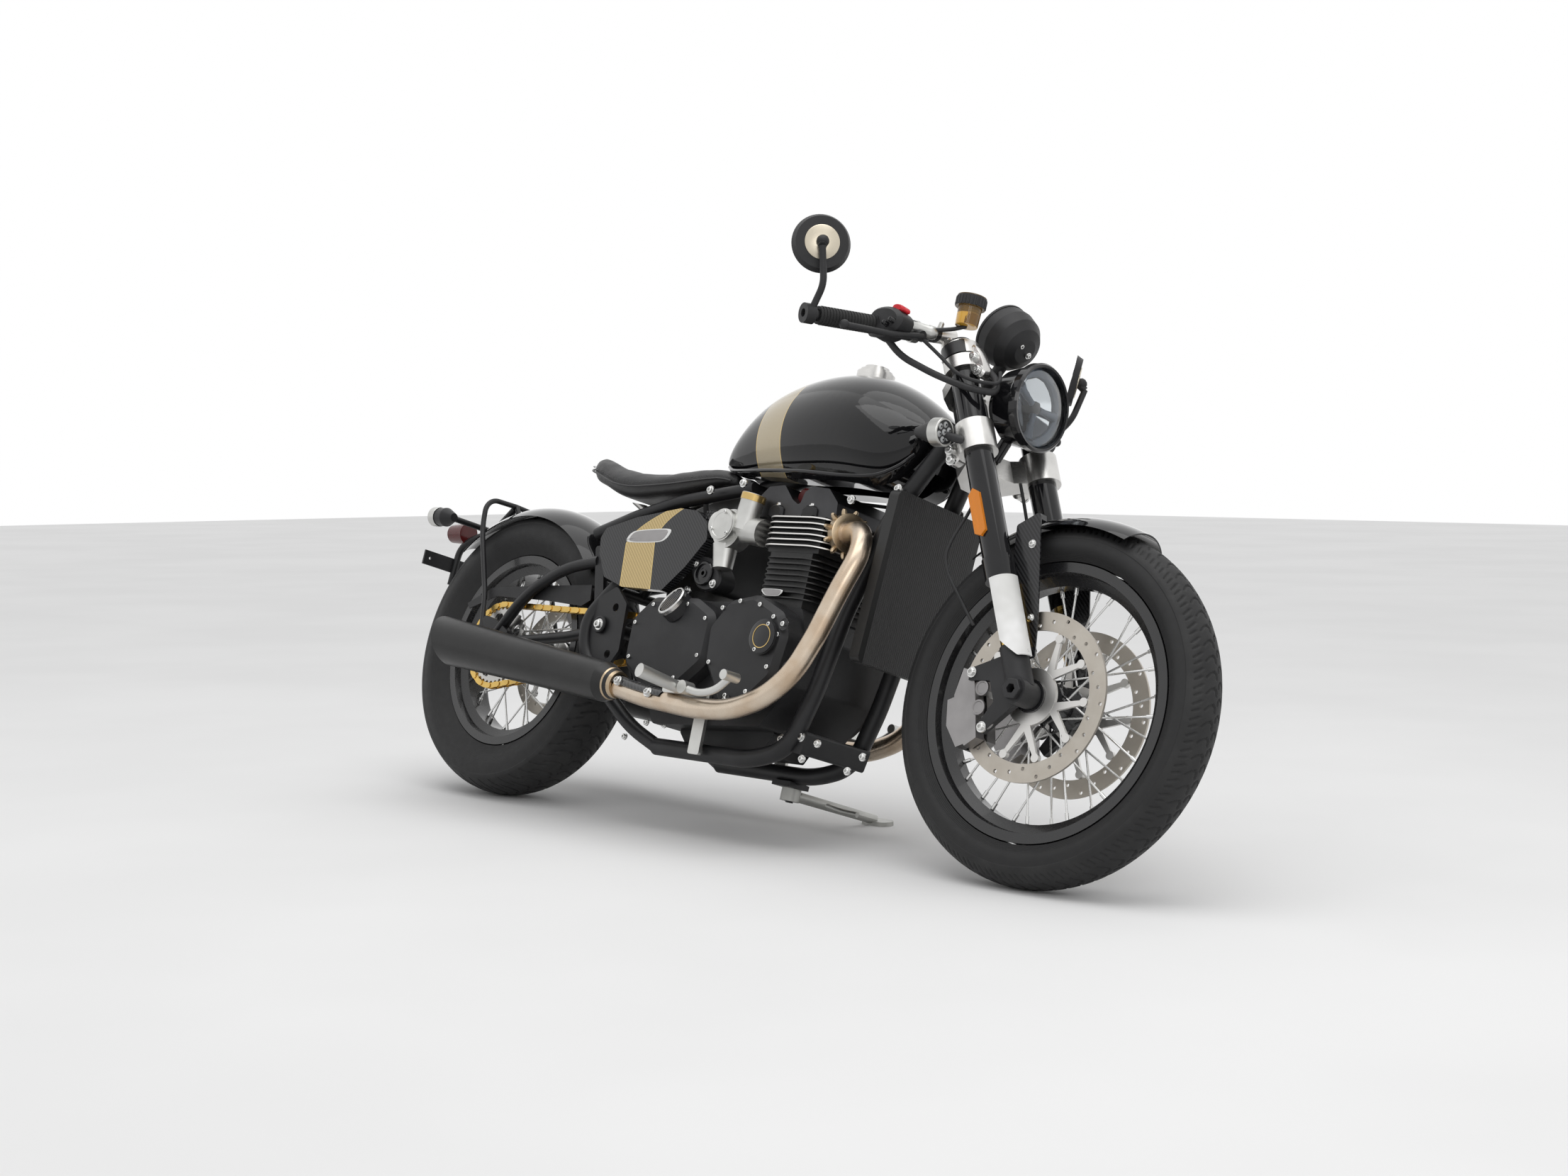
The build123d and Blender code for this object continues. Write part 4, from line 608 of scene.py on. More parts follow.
def smooth_path(points, count=40):
    """Catmull-Rom curve through points: each span blends its four nearest points by cubic weights."""
    p = np.asarray(points, float)
    p = np.vstack([2 * p[0] - p[1], p, 2 * p[-1] - p[-2]])
    t = np.linspace(0, len(p) - 3 - 1e-9, count)
    k = t.astype(int)
    u = (t - k)[:, None]
    a, b, c, d = p[k], p[k + 1], p[k + 2], p[k + 3]
    return 0.5 * (2 * b + (c - a) * u + (2 * a - 5 * b + 4 * c - d) * u**2 + (3 * b - a - 3 * c + d) * u**3)


def sweep(path, radius, sides=12):
    """A circle of the given radius (one, or one per point) carried square along a path, ends closed."""
    along = np.gradient(path, axis=0)
    along /= np.linalg.norm(along, axis=1)[:, None]
    first = np.cross(along, [0.13, 0.31, 0.94])
    first /= np.linalg.norm(first, axis=1)[:, None]
    second = np.cross(along, first)
    angle = np.linspace(0, 2 * math.pi, sides + 1)[:-1]
    radius = np.broadcast_to(np.asarray(radius, float), len(path))[:, None, None]
    ring = first[:, None] * np.cos(angle)[None, :, None] + second[:, None] * np.sin(angle)[None, :, None]
    tube = path[:, None] + radius * ring
    ends = path[[0, -1]][:, None] + 0 * ring[[0, -1]]
    return np.concatenate([ends[:1], tube, ends[1:]])


def make(name, grids, body, finish, place=on_frame, sharp=38.0):
    """Join grids, each closed round its second direction, into one piece that rides on a body."""
    points, quads, start = [], [], 0
    for grid in grids:
        rows, columns = grid.shape[:2]
        index = start + np.arange(rows * columns).reshape(rows, columns)
        index = np.hstack([index, index[:, :1]])
        quads.append(grid_quads(index))
        points.append(place(grid.reshape(-1, 3)))
        start += rows * columns
    mesh = bpy.data.meshes.new(name)
    mesh.from_pydata(np.vstack(points).tolist(), [], np.vstack(quads).tolist())
    work = bmesh.new()
    work.from_mesh(mesh)
    bmesh.ops.remove_doubles(work, verts=work.verts, dist=2e-6)
    bmesh.ops.recalc_face_normals(work, faces=work.faces)
    work.to_mesh(mesh)
    work.free()
    mesh.polygons.foreach_set("use_smooth", np.ones(len(mesh.polygons), bool))
    mesh.set_sharp_from_angle(angle=math.radians(sharp))
    piece = bpy.data.objects.new(name, mesh)
    bpy.context.collection.objects.link(piece)
    mesh.materials.append(finish.material)
    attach(piece, body)
    print(name, len(mesh.polygons), "faces")
    return piece


# %% [markdown]
# Dozens of bright cap bolts hold the machine together, and they are what the eye picks out on its black
# parts. Each is one small turned shape: a rounded rim, a flat top and a deep socket, on a thin washer.

# %% Bolts
def bolt(place, direction, radius=6.0, washer=True):
    """Profile of a cap bolt, as parts of its radius, from its seat out to its rim and down the socket."""
    profile = [(-0.4, 0.0), (-0.4, 1.45), (0.18, 1.45), (0.22, 1.0), (0.85, 1.0), (1.0, 0.85), (1.0, 0.5)]
    profile += [(0.45, 0.46), (0.4, 0.0)]
    if not washer:
        profile[1:4] = [(-0.4, 1.0)]
    return lathe(np.array(profile) * radius, place, direction, 14)


RIGHT, LEFT, FORE, UP = (0, -1, 0), (0, 1, 0), (1, 0, 0), (0, 0, 1)
PIVOT_X, PIVOT_Z = 397, 380
bolt_steel = worked_metal("bright_bolt_steel", (0.7, 0.7, 0.69), 0.22, 2500.0)

# %% [markdown]
# The bolts go on in rows, by body. Those on the covers sit just inside each cover's bevelled edge, and
# the frame's sit on its lower plate and the pivot of the rear cage. The six at the rails stand clear of
# the solid rails by 19 to 30 mm.

# %% Bolts of the frame and engine
clutch_rim = [(800, 428), (846, 444), (902, 440), (946, 418), (966, 384), (956, 320), (914, 268)]
clutch_rim += [(860, 256), (794, 318)]
drive_rim = [(534, 316), (530, 388), (574, 428), (676, 434), (736, 408), (736, 332), (682, 282), (584, 282)]
left_rim = [(640, 410), (760, 430), (880, 430), (940, 392), (890, 262)]
rails = [(607, 688), (701, 704), (1013, 674)]
grids = [bolt((x, -177.5, z), RIGHT, 4.8, False) for x, z in clutch_rim]
grids += [bolt((x, -159.5, z), RIGHT, 4.4, False) for x, z in drive_rim]
grids += [bolt((x, 147.5, z), LEFT, 4.6, False) for x, z in left_rim]
grids += [bolt((x, -184.5, z), RIGHT, 4.2, False) for x, z in ((943, 402), (920, 350))]
grids += [bolt((PIVOT_X, side * 144, PIVOT_Z), (0, side, 0), 9.0) for side in (-1, 1)]
grids += [bolt((x, side * 108, z), (0, side, 0), 6.5) for x, z in rails for side in (-1, 1)]
grids += [bolt((x, -92, z), RIGHT, 7.0) for x, z in ((950, 196), (1000, 206))]
make("frame_bolts", grids, "frame", bolt_steel)

# %% [markdown]
# Flat parts with rounded corners are slabs. An outline in the side view is rounded by cutting its
# corners again and again, then carried across the machine as rings, the first and last ones inset to
# give each face a soft edge.

# %% Slabs and shells
def rounded(outline, rounds=2):
    """Chaikin's rule: each edge gives its points at a quarter and at three quarters."""
    points = np.asarray(outline, float)
    for _ in range(rounds):
        ahead = np.roll(points, -1, 0)
        points = np.stack([0.75 * points + 0.25 * ahead, 0.25 * points + 0.75 * ahead], 1).reshape(-1, 2)
    return points


def slab(outline, inner, outer, edge=2.0, rounds=2):
    """Rings at (x, y, z): the middle, the outline inset, the outline, and the same back, along y."""
    flat = rounded(outline, rounds)
    middle = flat.mean(0)
    inset = middle + (flat - middle) * (1 - edge / np.linalg.norm(flat - middle, axis=1).mean())
    away = math.copysign(edge, outer - inner)
    steps = [(0 * flat + middle, inner), (inset, inner), (flat, inner + away), (flat, outer - away)]
    steps += [(inset, outer), (0 * flat + middle, outer)]
    return np.array([np.stack([ring[:, 0], 0 * ring[:, 0] + y, ring[:, 1]], -1) for ring, y in steps])


def shell(path, radius, start, end, wall=2.0, columns=16):
    """A trough along a path: an arc from angle start to end at radius, and back at radius less the wall."""
    along = np.gradient(path, axis=0)
    along /= np.linalg.norm(along, axis=1)[:, None]
    side = np.cross(along, [0, 0, 1.0])
    side /= np.linalg.norm(side, axis=1)[:, None]
    over = np.cross(side, along)
    angle = np.radians(np.linspace(start, end, columns))
    turn = np.concatenate([angle, angle[::-1]])
    mean = radius - wall / 2
    reach = np.tile(np.repeat([radius, radius - wall], columns), (len(path), 1))
    reach[[0, -1]] = mean
    ring = side[:, None] * np.cos(turn)[None, :, None] + over[:, None] * np.sin(turn)[None, :, None]
    return path[:, None] + reach[..., None] * ring


print("slab and shell tools ready")

# %% [markdown]
# The right side of the engine carries most of what the photograph shows. The clutch cover has a polished
# window with a fine gold ring and two screws; the drive cover has a vented cap in a bright ring.

# %% Engine covers
gold_ring = worked_metal("gold_ring", (0.7, 0.5, 0.2), 0.25, 2500.0)
polished = coat_paint("polished_black", (0.008, 0.008, 0.009), 0.12, 0.00001, 1.0)
window = (932, -185.1, 377)
grids = [lathe([(0, 0), (0, 34), (1.4, 34), (2.2, 32), (2.4, 0)], window, RIGHT, 48)]
make("clutch_window", grids, "frame", polished)
grids = [lathe([(2.0, 23.5), (3.0, 23.5), (3.0, 22), (2.0, 22), (2.0, 23.5)], window, RIGHT, 48)]
make("clutch_window_ring", grids, "frame", gold_ring)
cap, cap_way = np.array([633.8, -168.4, 436.4]), (-6, -22, 12)
bright = [(-6, 35.2), (1.5, 35.2), (3.4, 33.5), (3.4, 30.5), (0.4, 29.5), (-6, 29.5), (-6, 35.2)]
make("vent_ring", [lathe(bright, cap, cap_way, 48)], "frame", bolt_steel)
recess = [(-6, 0), (-6, 29.4), (-0.6, 29.4), (-0.6, 0)]
make("vent_recess", [lathe(recess, cap, cap_way, 40)], "frame", satin_plastic)
_, across, up_slope = basis(cap_way)
slats = []
for offset in (-18, -9, 0, 9, 18):
    half = math.sqrt(28**2 - offset**2)
    ends = [cap + across * offset + up_slope * t for t in np.linspace(-half, half, 8)]
    slats.append(sweep(np.array(ends) + np.array(cap_way) / 26 * 0.6, 2.6, 8))
make("vent_slats", slats, "frame", polished)

# %% [markdown]
# Between the side panel and the throttle body sits the ignition lock in its black housing, and above it
# the throttle body, whose silver disc has three screws and whose filter has a brass-coloured band.

# %% Ignition lock and throttle bodies
lock = [(600, 536), (634, 548), (668, 540), (700, 512), (702, 486), (668, 470), (634, 480), (612, 506)]
make("ignition_housing", [slab(lock, -66, -114, 4.0)], "frame", satin_plastic)
rings = [(0, 26), (5, 26), (7, 24), (7, 20), (3, 19), (3, 9), (6, 9), (6, 0)]
make("ignition_lock", [lathe(rings, (652, -113.5, 509), RIGHT, 40)], "frame", polished)
grids = [bolt((x, -114.5, z), RIGHT, 6.2) for x, z in ((620, 530), (684, 489))]
make("ignition_screws", grids, "frame", bolt_steel)
for side, name in ((-1, "right"), (1, "left")):
    way = (0, side, 0)
    disc = [(0, 0), (0, 31), (1.5, 30.5), (1.5, 26), (0.6, 25), (0.6, 0)]
    grids = [lathe(disc, (712, side * 152.1, 604), way, 48)]
    grids.append(lathe([(-26, 41.5), (-14, 41.5), (-12, 40), (-12, 33)], (712, side * 142, 602), way, 48))
    make("throttle_disc_" + name, grids, "frame", cast_silver)
    turns = [math.radians(a) for a in (80, 200, 320)]
    spots = [(712 + 27 * math.cos(a), side * 153.3, 604 + 27 * math.sin(a)) for a in turns]
    make("throttle_screws_" + name, [bolt(p, way, 4.0, False) for p in spots], "frame", bolt_steel)
    up = np.array([10, 0, 76]) / 76.7
    foot = np.array([756.0, side * 124, 661])
    brass = [(0, 24.2), (0, 25.6), (13, 25.6), (14, 24.6), (15, 22), (15, 0)]
    make("filter_band_" + name, [lathe(brass, foot, up, 40)], "frame", gold_ring)

# %% [markdown]
# Heat turns the exhaust's clamp rose bronze. Its petals are short tapered fins round the port. Further
# back the header meets the silencer in a ring, and a small carbon shield hugs the pipe on two bolts.

# %% Exhaust details
bronze = worked_metal("bronze_clamp", (0.52, 0.41, 0.28), 0.3, 1200.0)
for side, name in ((-1, "right"), (1, "left")):
    port, out = np.array([1001.0, side * 85, 611]), np.array([16.0, side * 6, 0])
    out /= np.linalg.norm(out)
    _, first, second = basis(out)
    petals = []
    for turn_step in range(11):
        a = 2 * math.pi * turn_step / 11 + 0.2
        spoke = first * math.cos(a) + second * math.sin(a)
        path = np.array([port + spoke * away - out * back for away, back in ((34, 8), (43, 7), (50, 4))])
        petals.append(sweep(smooth_path(path, 6), [6.5, 6.5, 6, 5.5, 4.5, 3], 10))
    petals.append(lathe([(-10, 30), (-10, 39.5), (9, 39.5), (10, 37), (10, 26)], port, out, 40))
    make("exhaust_rose_" + name, petals, "frame", bronze)
    route = np.array([(720, 202, 225), (660, 203, 230), (610, 203.5, 237), (566, 204, 245)]) * [1, side, 1]
    guard = smooth_path(route, 16)
    start, end = (20, 175) if side > 0 else (5, 160)
    make("pipe_shield_" + name, [shell(guard, 25.5, start, end)], "frame", carbon_plain)
    muffler_way = np.array([-606.0, side * 8, 54])
    front = np.array([566.0, side * 204, 249])
    ring = [(-9, 22), (-9, 27.2), (6, 29.5), (12, 34), (12, 31), (-4, 22)]
    make("silencer_ring_" + name, [lathe(ring, front, muffler_way, 48)], "frame", bronze)
    spots = [(690, side * 226, 238), (596, side * 228, 254)]
    make("shield_bolts_" + name, [bolt(p, (0, side, 0.35), 7.0) for p in spots], "frame", bolt_steel)

# %% [markdown]
# The fork's clamps and the bars' clip-ons pinch their tubes with pairs of bright bolts through small
# ears. They are placed on the unsteered fork and turned with it.

# %% Clamp ears and fork caps
ears, bolts, caps, crowns = [], [], [], []
for side in (-1, 1):
    way = (0, side, 0)
    upper = [(1232, 984), (1258, 972), (1284, 930), (1276, 912), (1252, 920), (1232, 950)]
    lower = [(1262, 792), (1240, 784), (1230, 764), (1244, 738), (1266, 746), (1274, 770)]
    ears += [slab(upper, side * 92, side * 116, 4.0), slab(lower, side * 92, side * 118, 4.0)]
    bolts += [bolt((x, side * 117, z), way, 7.5) for x, z in ((1250, 954), (1266, 928))]
    bolts += [bolt((x, side * 119, z), way, 7.5) for x, z in ((1244, 770), (1252, 750))]
    top = up_fork(65, side * 103, 1052)
    crowns.append(lathe([(-3, 22), (-3, 28.5), (4, 28.5), (7, 26.5), (7, 23), (3, 22)], top, steer_axis, 40))
    caps.append(lathe([(0, 23), (11.8, 23), (13.4, 21), (13.4, 12), (10, 11), (10, 0)], top, steer_axis, 40))
make("clamp_ears", ears, "steering", machined, on_fork)
make("clamp_bolts", bolts, "steering", bolt_steel, on_fork)
make("fork_cap_rings", crowns, "steering", machined, on_fork)
make("fork_caps", caps, "steering", polished, on_fork)

# %% [markdown]
# The front indicators are small black bullets with silver bezels, each with seven round light emitters
# behind a clear face. The rear ones are the same with their faces backwards.

# %% Indicators
emitter = lens_finish("emitter", (0.85, 0.87, 0.88), 0.03, 0.6)
mirror_metal = worked_metal("mirror_chrome", (0.85, 0.86, 0.87), 0.12, 3000.0)
pearl = coat_paint("pearl_reflector", (0.6, 0.61, 0.62), 0.2, 0.00005)
bezels, faces, dots = [], [], []
for side in (-1, 1):
    head = np.array([1232.0, side * 162, 790])
    bezels.append(lathe([(6, 25), (6, 27), (27, 27), (28.5, 25.5), (28.5, 23), (24, 22.5)], head, FORE, 40))
    faces.append(lathe([(24, 23), (24.4, 22.5), (24.4, 0)], head, FORE, 32))
    spots = [(0, 0)] + [(14.5 * math.cos(a), 14.5 * math.sin(a)) for a in np.radians(range(30, 390, 60))]
    dome = [(0, 6.4), (2, 6), (3.6, 4), (4.2, 0)]
    dots += [lathe(dome, head + [24.4, u, v], FORE, 12) for u, v in spots]
make("indicator_bezels", bezels, "steering", cast_silver, on_fork)
make("indicator_faces", faces, "steering", pearl, on_fork)
make("indicator_emitters", dots, "steering", emitter, on_fork)
bezels, dots = [], []
for side in (-1, 1):
    head = np.array([-292.0, side * 130, 604])
    bezels.append(lathe([(-4, 19), (-4, 22.6), (14, 23), (16, 22)], head, FORE, 32))
    dots.append(lathe([(-3.8, 19.5), (-7, 16), (-8.4, 9), (-8.8, 0)], head, FORE, 32))
make("rear_indicator_bezels", bezels, "frame", cast_silver)
make("rear_indicator_faces", dots, "frame", emitter)

# %% [markdown]
# The headlamp is a glossy black bowl. Behind its clear glass a grey ring carries three spokes to a small
# centre, over two faceted chrome reflectors, the lower one painted near black as painted shade. The CAD
# lens gives its place to a thin domed glass.

# %% Headlamp
lamp = np.array([1332.0, 0, 892])
bezel = [(-4, 83), (-4, 84.6), (9, 84.6), (13, 81), (12, 77), (4, 75.8), (-19, 75.8)]
make("headlamp_bezel", [lathe(bezel, lamp, FORE, 72)], "steering", polished, on_fork)
glass = [(4, 75.5), (9, 70), (13, 52), (15.4, 28), (16, 0)]
inner_glass = [(14, 0), (13.4, 28), (11, 51), (7, 68), (2, 74.5), (4, 75.5)]
pane = make("headlamp_glass", [lathe(glass + inner_glass, lamp, FORE, 64)], "steering", clear_lens, on_fork)
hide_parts("headlamp_lens")
grey_ring = coat_paint("lamp_grey_ring", (0.09, 0.11, 0.14), 0.35, 0.00005)
ring = [(-18, 75.4), (-6, 75.4), (-2, 71), (-6, 59), (-14, 56), (-18, 56), (-18, 75.4)]
parts = [lathe(ring, lamp, FORE, 64)]
for degrees in (155, 2, 268):
    a = math.radians(degrees)
    way = np.array([0, math.cos(a), math.sin(a)])
    arm = [lamp + [-8, 0, 0] + way * r for r in (62, 50, 30, 12)]
    parts.append(sweep(np.array(arm), [11, 8, 6, 6.5], 10))
make("headlamp_ring", parts, "steering", grey_ring, on_fork)
bowl = [(-10, 57), (-14, 48), (-17.5, 34), (-19, 18), (-19.4, 0)]
reflector_painted_shade = Finish("reflector_with_painted_shade_below", (0.8, 0.82, 0.84), 0.08, 1.0)
_, y, z = reflector_painted_shade.upright(True)
# The chrome is painted near black below this height: painted shade on the lower reflector.
upper = (z + y * 0.2).step(0.884, 0.888)
reflector_painted_shade.set("Base Color", reflector_painted_shade.mix(upper, (0.07, 0.075, 0.085), (0.82, 0.84, 0.86)))
reflector_painted_shade.set("Roughness", reflector_painted_shade.noise(300.0) * 0.06 + 0.07)
make("headlamp_reflector", [lathe(bowl, lamp, FORE, 14)], "steering", reflector_painted_shade, on_fork, 12.0)
boss = [(-16, 14), (-3, 13), (-1, 10), (-1, 0)]
make("headlamp_centre", [lathe(boss, lamp, FORE, 6)], "steering", polished, on_fork)

# %% [markdown]
# The bars are black, with ribbed grips. The right switch block carries a red engine-stop switch, and the
# brake's master cylinder is silver. Its points lie along the bar, given from the bar's outer end.

# %% Bars and switches
BAR_INNER = np.array([1163.0, 103.0, 1000.0])
BAR_OUTER = np.array([1068.0, 376.0, 947.0])


def bar_point(side, travel):
    """Point on a handlebar's axis, at a distance inwards from its outer end."""
    flip = np.array([1, side, 1])
    inner, outer = BAR_INNER * flip, BAR_OUTER * flip
    return outer + (inner - outer) / np.linalg.norm(inner - outer) * travel


def outward(side):
    """Unit vector along a bar, away from the machine."""
    return (bar_point(side, 0) - bar_point(side, 100)) / 100


blocks, ribs, silver = [], [], []
rib = [(0, 16.6), (0, 18.1), (4, 18.1), (4, 16.6)]
outlet = [(0, 0), (0, 6), (16, 5), (18, 3), (18, 0)]
for side in (-1, 1):
    block = [(1098, 1000), (1132, 1008), (1166, 1000), (1186, 978), (1160, 948), (1116, 944), (1094, 966)]
    blocks.append(slab(block, side * 214, side * 262, 8.0))
    for travel in np.arange(16, 122, 6.5):
        ribs.append(lathe(rib, bar_point(side, travel), -outward(side), 24))
    start, end = bar_point(side, 236) + [30, 0, -2], bar_point(side, 170) + [30, 0, 7]
    length = np.linalg.norm(end - start)
    body = [(-4, 0), (-4, 11), (0, 13), (12, 13), (14, 11.6), (length - 12, 11.6), (length - 10, 14)]
    body += [(length, 14), (length + 3, 11), (length + 3, 0)]
    silver.append(lathe(body, start, end - start, 28))
    foot = bar_point(side, 205)
    silver.append(lathe([(-20, 19.4), (-20, 21.5), (-6, 21.5), (-6, 19.4)], foot, outward(side), 32))
    silver.append(lathe(outlet, start + [0, -side * 14, 10], (0.2, 0, 1), 14))
make("switch_blocks", blocks, "steering", satin_plastic, on_fork)
make("grip_ribs", ribs, "steering", grip_rubber, on_fork)
make("master_cylinders", silver, "steering", cast_silver, on_fork)
red_plastic = coat_paint("red_switch", (0.55, 0.02, 0.03), 0.35, 0.0001)
switch = [(1140, 1002), (1146, 1014), (1170, 1009), (1172, 996)]
make("stop_switch", [slab(switch, -226, -252, 3.0)], "steering", red_plastic, on_fork)
knob = [(0, 0), (0, 6), (10, 5), (12, 0)]
knobs = [lathe(knob, place, RIGHT, 14) for place in ((1150, -262, 968), (1164, -262, 974))]
knobs += [lathe([(0, 0), (0, 7), (10, 6), (12, 0)], (1140, 262, 972), LEFT, 14)]
make("switch_buttons", knobs, "steering", polished, on_fork)

# %% [markdown]
# Each mirror is a shallow black dish with a champagne disc on its back and a ball joint in the disc. The
# glass faces the rider.

# %% Mirrors
champagne_metal = worked_metal("champagne_disc", (0.62, 0.56, 0.45), 0.3, 2500.0)
discs, glasses, balls = [], [], []
for side in (-1, 1):
    head = bar_point(side, 0) + outward(side) * 13 + [18 + side * 21, 0, 139]
    face_out = np.array([0.78, side * 0.62, -0.05])
    face_out /= np.linalg.norm(face_out)
    discs.append(lathe([(5, 0), (5, 33), (7.2, 33), (8, 31.5), (9, 0)], head, face_out, 56))
    glasses.append(lathe([(-8.4, 0), (-8.4, 53.5), (-7.2, 53.5), (-7.2, 0)], head, face_out, 56))
    balls.append(lathe([(6, 9), (14, 12), (20, 10.5), (25, 6), (27, 0), (6, 0)], head, face_out, 24))
make("mirror_discs", discs, "steering", champagne_metal, on_fork)
make("mirror_glasses", glasses, "steering", mirror_metal, on_fork)
make("mirror_ball_joints", balls, "steering", satin_plastic, on_fork)

# %% [markdown]
# The brake fluid pot has a smoked body, amber fluid behind it, and a black cap ribbed for grip. The
# instrument behind it is a bowl with two screws on its nose and a dark dial that faces the rider.

# %% Fluid pot and instrument
pot = np.array([1227.0, -130, 1046])
ribs = [lathe([(0, 0), (0, 28.6), (20, 28.6), (22.4, 26), (22.4, 0)], pot, UP, 40)]
for a in np.linspace(0, 2 * math.pi, 25)[:-1]:
    out = np.array([math.cos(a), math.sin(a), 0])
    ribs.append(sweep(np.array([pot + out * 28.4 + [0, 0, 1.5], pot + out * 28.4 + [0, 0, 18]]), 1.6, 6))
make("pot_cap", ribs, "steering", satin_plastic, on_fork)
fluid = Finish("amber_fluid", (0.75, 0.42, 0.03), 0.15, coat_weight=0.6)
fluid.set("Base Color", fluid.mix(fluid.noise(30.0), (0.8, 0.46, 0.04), (0.5, 0.24, 0.02)))
profile = [(-36.4, 0), (-36.4, 21.4), (-14, 22.5), (-14, 0)]
make("pot_fluid", [lathe(profile, pot, UP, 32)], "steering", fluid, on_fork)
dial = np.array([1205.0, 0, 1046])
down = np.array([0.86, 0, -0.51])
face = [(5.9, 0), (5.2, 52), (3, 53), (3, 0)]
make("dial_glass", [lathe(face, dial, down, 56)], "steering", polished, on_fork)
hoop = [(-1, 53), (-2.5, 56), (-1, 59.4), (4, 59.4), (4, 53), (-1, 53)]
make("dial_rim", [lathe(hoop, dial, down, 64)], "steering", satin_plastic, on_fork)
nose = dial + down * 79.6
grids = [bolt(nose + [0, y, z], down, 4.6) for y, z in ((-15, 6), (11, -4))]
make("instrument_screws", grids, "steering", bolt_steel, on_fork)

# %% [markdown]
# Below, the front brake's calipers have bright bolts and pads held by pins, the spindle has its hexagonal
# nut, whose middle stays open, and the mudguard's stays have two screws each.

# %% Front brakes and spindle
bolts, nuts, pistons = [], [], []
for side in (-1, 1):
    way = (0, side, 0)
    bolts += [bolt(up_fork(-28, side * 105, s), way, 7.0) for s in (411, 304)]
    for n, s in ((-15, 376), (-30, 344), (-17, 312)):
        place = up_fork(n, side * 99.6, s)
        pistons.append(lathe([(0, 0), (0, 15), (2.5, 14), (3, 11), (1.6, 10), (1.6, 0)], place, way, 24))
    spindle = np.array([1512.0, side * 126.2, 331])
    nuts.append(lathe([(0, 9.2), (0, 19), (1.2, 20), (9, 20), (10, 18.5), (10, 9.2)], spindle, way, 6))
    bolts += [bolt((x, side * 82.4, z), way, 5.5) for x, z in ((1452, 606), (1482, 470))]
    bolts.append(bolt(up_fork(91, side * 108, 404), way, 4.5))
make("front_brake_bolts", bolts, "steering", bolt_steel, on_fork)
make("caliper_caps", pistons, "steering", titanium, on_fork)
make("spindle_nuts", nuts, "steering", satin_plastic, on_fork, 20.0)

# %% [markdown]
# The tank's lower edge is a rolled seam. It is a thin tube along the line where the flanks meet the
# floor, on both sides.

# %% Tank seam
stations = [(584, 50, 752), (620, 70, 739), (680, 93, 732), (760, 112, 728), (880, 129, 722)]
stations += [(1000, 131, 714), (1066, 118, 719), (1104, 99, 742), (1124, 80, 772)]
seams = []
for side in (-1, 1):
    line = np.array([(x, side * (half - 1.5), floor + 3) for x, half, floor in stations])
    seams.append(sweep(smooth_path(line, 60), 4.2, 10))
make("tank_seam", seams, "frame", gloss_paint)
grids = [lathe([(0, 0), (0, 21), (1.5, 20), (1.5, 0)], (900, 0, 981), UP, 40)]
grids.append(lathe([(1.4, 0), (1.4, 7), (5, 6.4), (5, 0)], (900, 0, 981), UP, 20))
make("cap_centre", grids, "frame", machined)

# %% [markdown]
# The saddle is soft. It takes the place of the seat solid, but from stations of its own, which follow the
# photograph more closely at the tail, laid out as rounded rings along x. Its mesh is then made even and
# blown up gently by Blender's cloth with its underside held, each move limited. Seams come afterwards.

# %% Saddle shape
# x, half width, edge height, dish, thickness
SADDLE = [(146, 34, 772, 2, 30), (165, 66, 772, 6, 46), (195, 92, 768, 12, 56), (235, 106, 758, 18, 58)]
SADDLE += [(300, 117, 738, 20, 60), (365, 120, 727, 14, 56), (425, 113, 729, 10, 52), (482, 100, 737, 8, 50)]
SADDLE += [(530, 84, 745, 4, 44), (575, 64, 749, 2, 34), (606, 48, 744, 2, 30)]


def saddle_ring(x, half, edge, dish, thick, shrink):
    """One ring round the saddle: a dished top, round sides and a flat underside, from -y and back.

    The top climbs from its rims, two fifths of the thickness down, as a quarter circle to shoulders at
    three fifths of the half width. It sinks again towards the middle by nine tenths of the dish, as a
    cosine to the power 1.5. Then the ring shrinks by a fixed distance.
    """
    across = np.linspace(-1, 1, 25)
    rim = edge - thick * 0.4
    shoulder = np.sqrt(1 - np.clip((np.abs(across) - 0.6) / 0.4, 0, 1) ** 2)
    hollow = 0.9 * dish * np.cos(across * math.pi / 1.7).clip(0, 1) ** 1.5
    top = np.stack([across * half, rim + (edge - rim) * shoulder - hollow], 1)
    bends = ((0.99, 0.55), (0.94, 0.8), (0.83, 0.95))
    right = [(half * out, edge - thick * drop) for out, drop in bends]
    under = np.stack([np.linspace(0.7, -0.7, 9) * half, np.full(9, edge - thick)], 1)
    left = [(-y, z) for y, z in reversed(right)]
    ring = np.vstack([top, right, under, left])
    middle = np.array([0, edge - thick / 2])
    away = ring - middle
    ring = middle + away * (1 - shrink / np.maximum(np.linalg.norm(away, axis=1, keepdims=True), 8.0))
    return np.stack([np.full(len(ring), x), ring[:, 0], ring[:, 1]], 1)


saddle_stations = smooth_path(np.array(SADDLE, float), 46)
rings = np.array([saddle_ring(*station, 3.0) for station in saddle_stations])
ends = rings[[0, -1]].mean(1, keepdims=True) + 0 * rings[[0, -1]]
saddle_grid = np.concatenate([ends[:1], rings, ends[1:]])
print("saddle rings", saddle_grid.shape)

# %% [markdown]
# Saddle leather is black with a fine pebbled grain, a little glossier where it is rubbed on the crown.

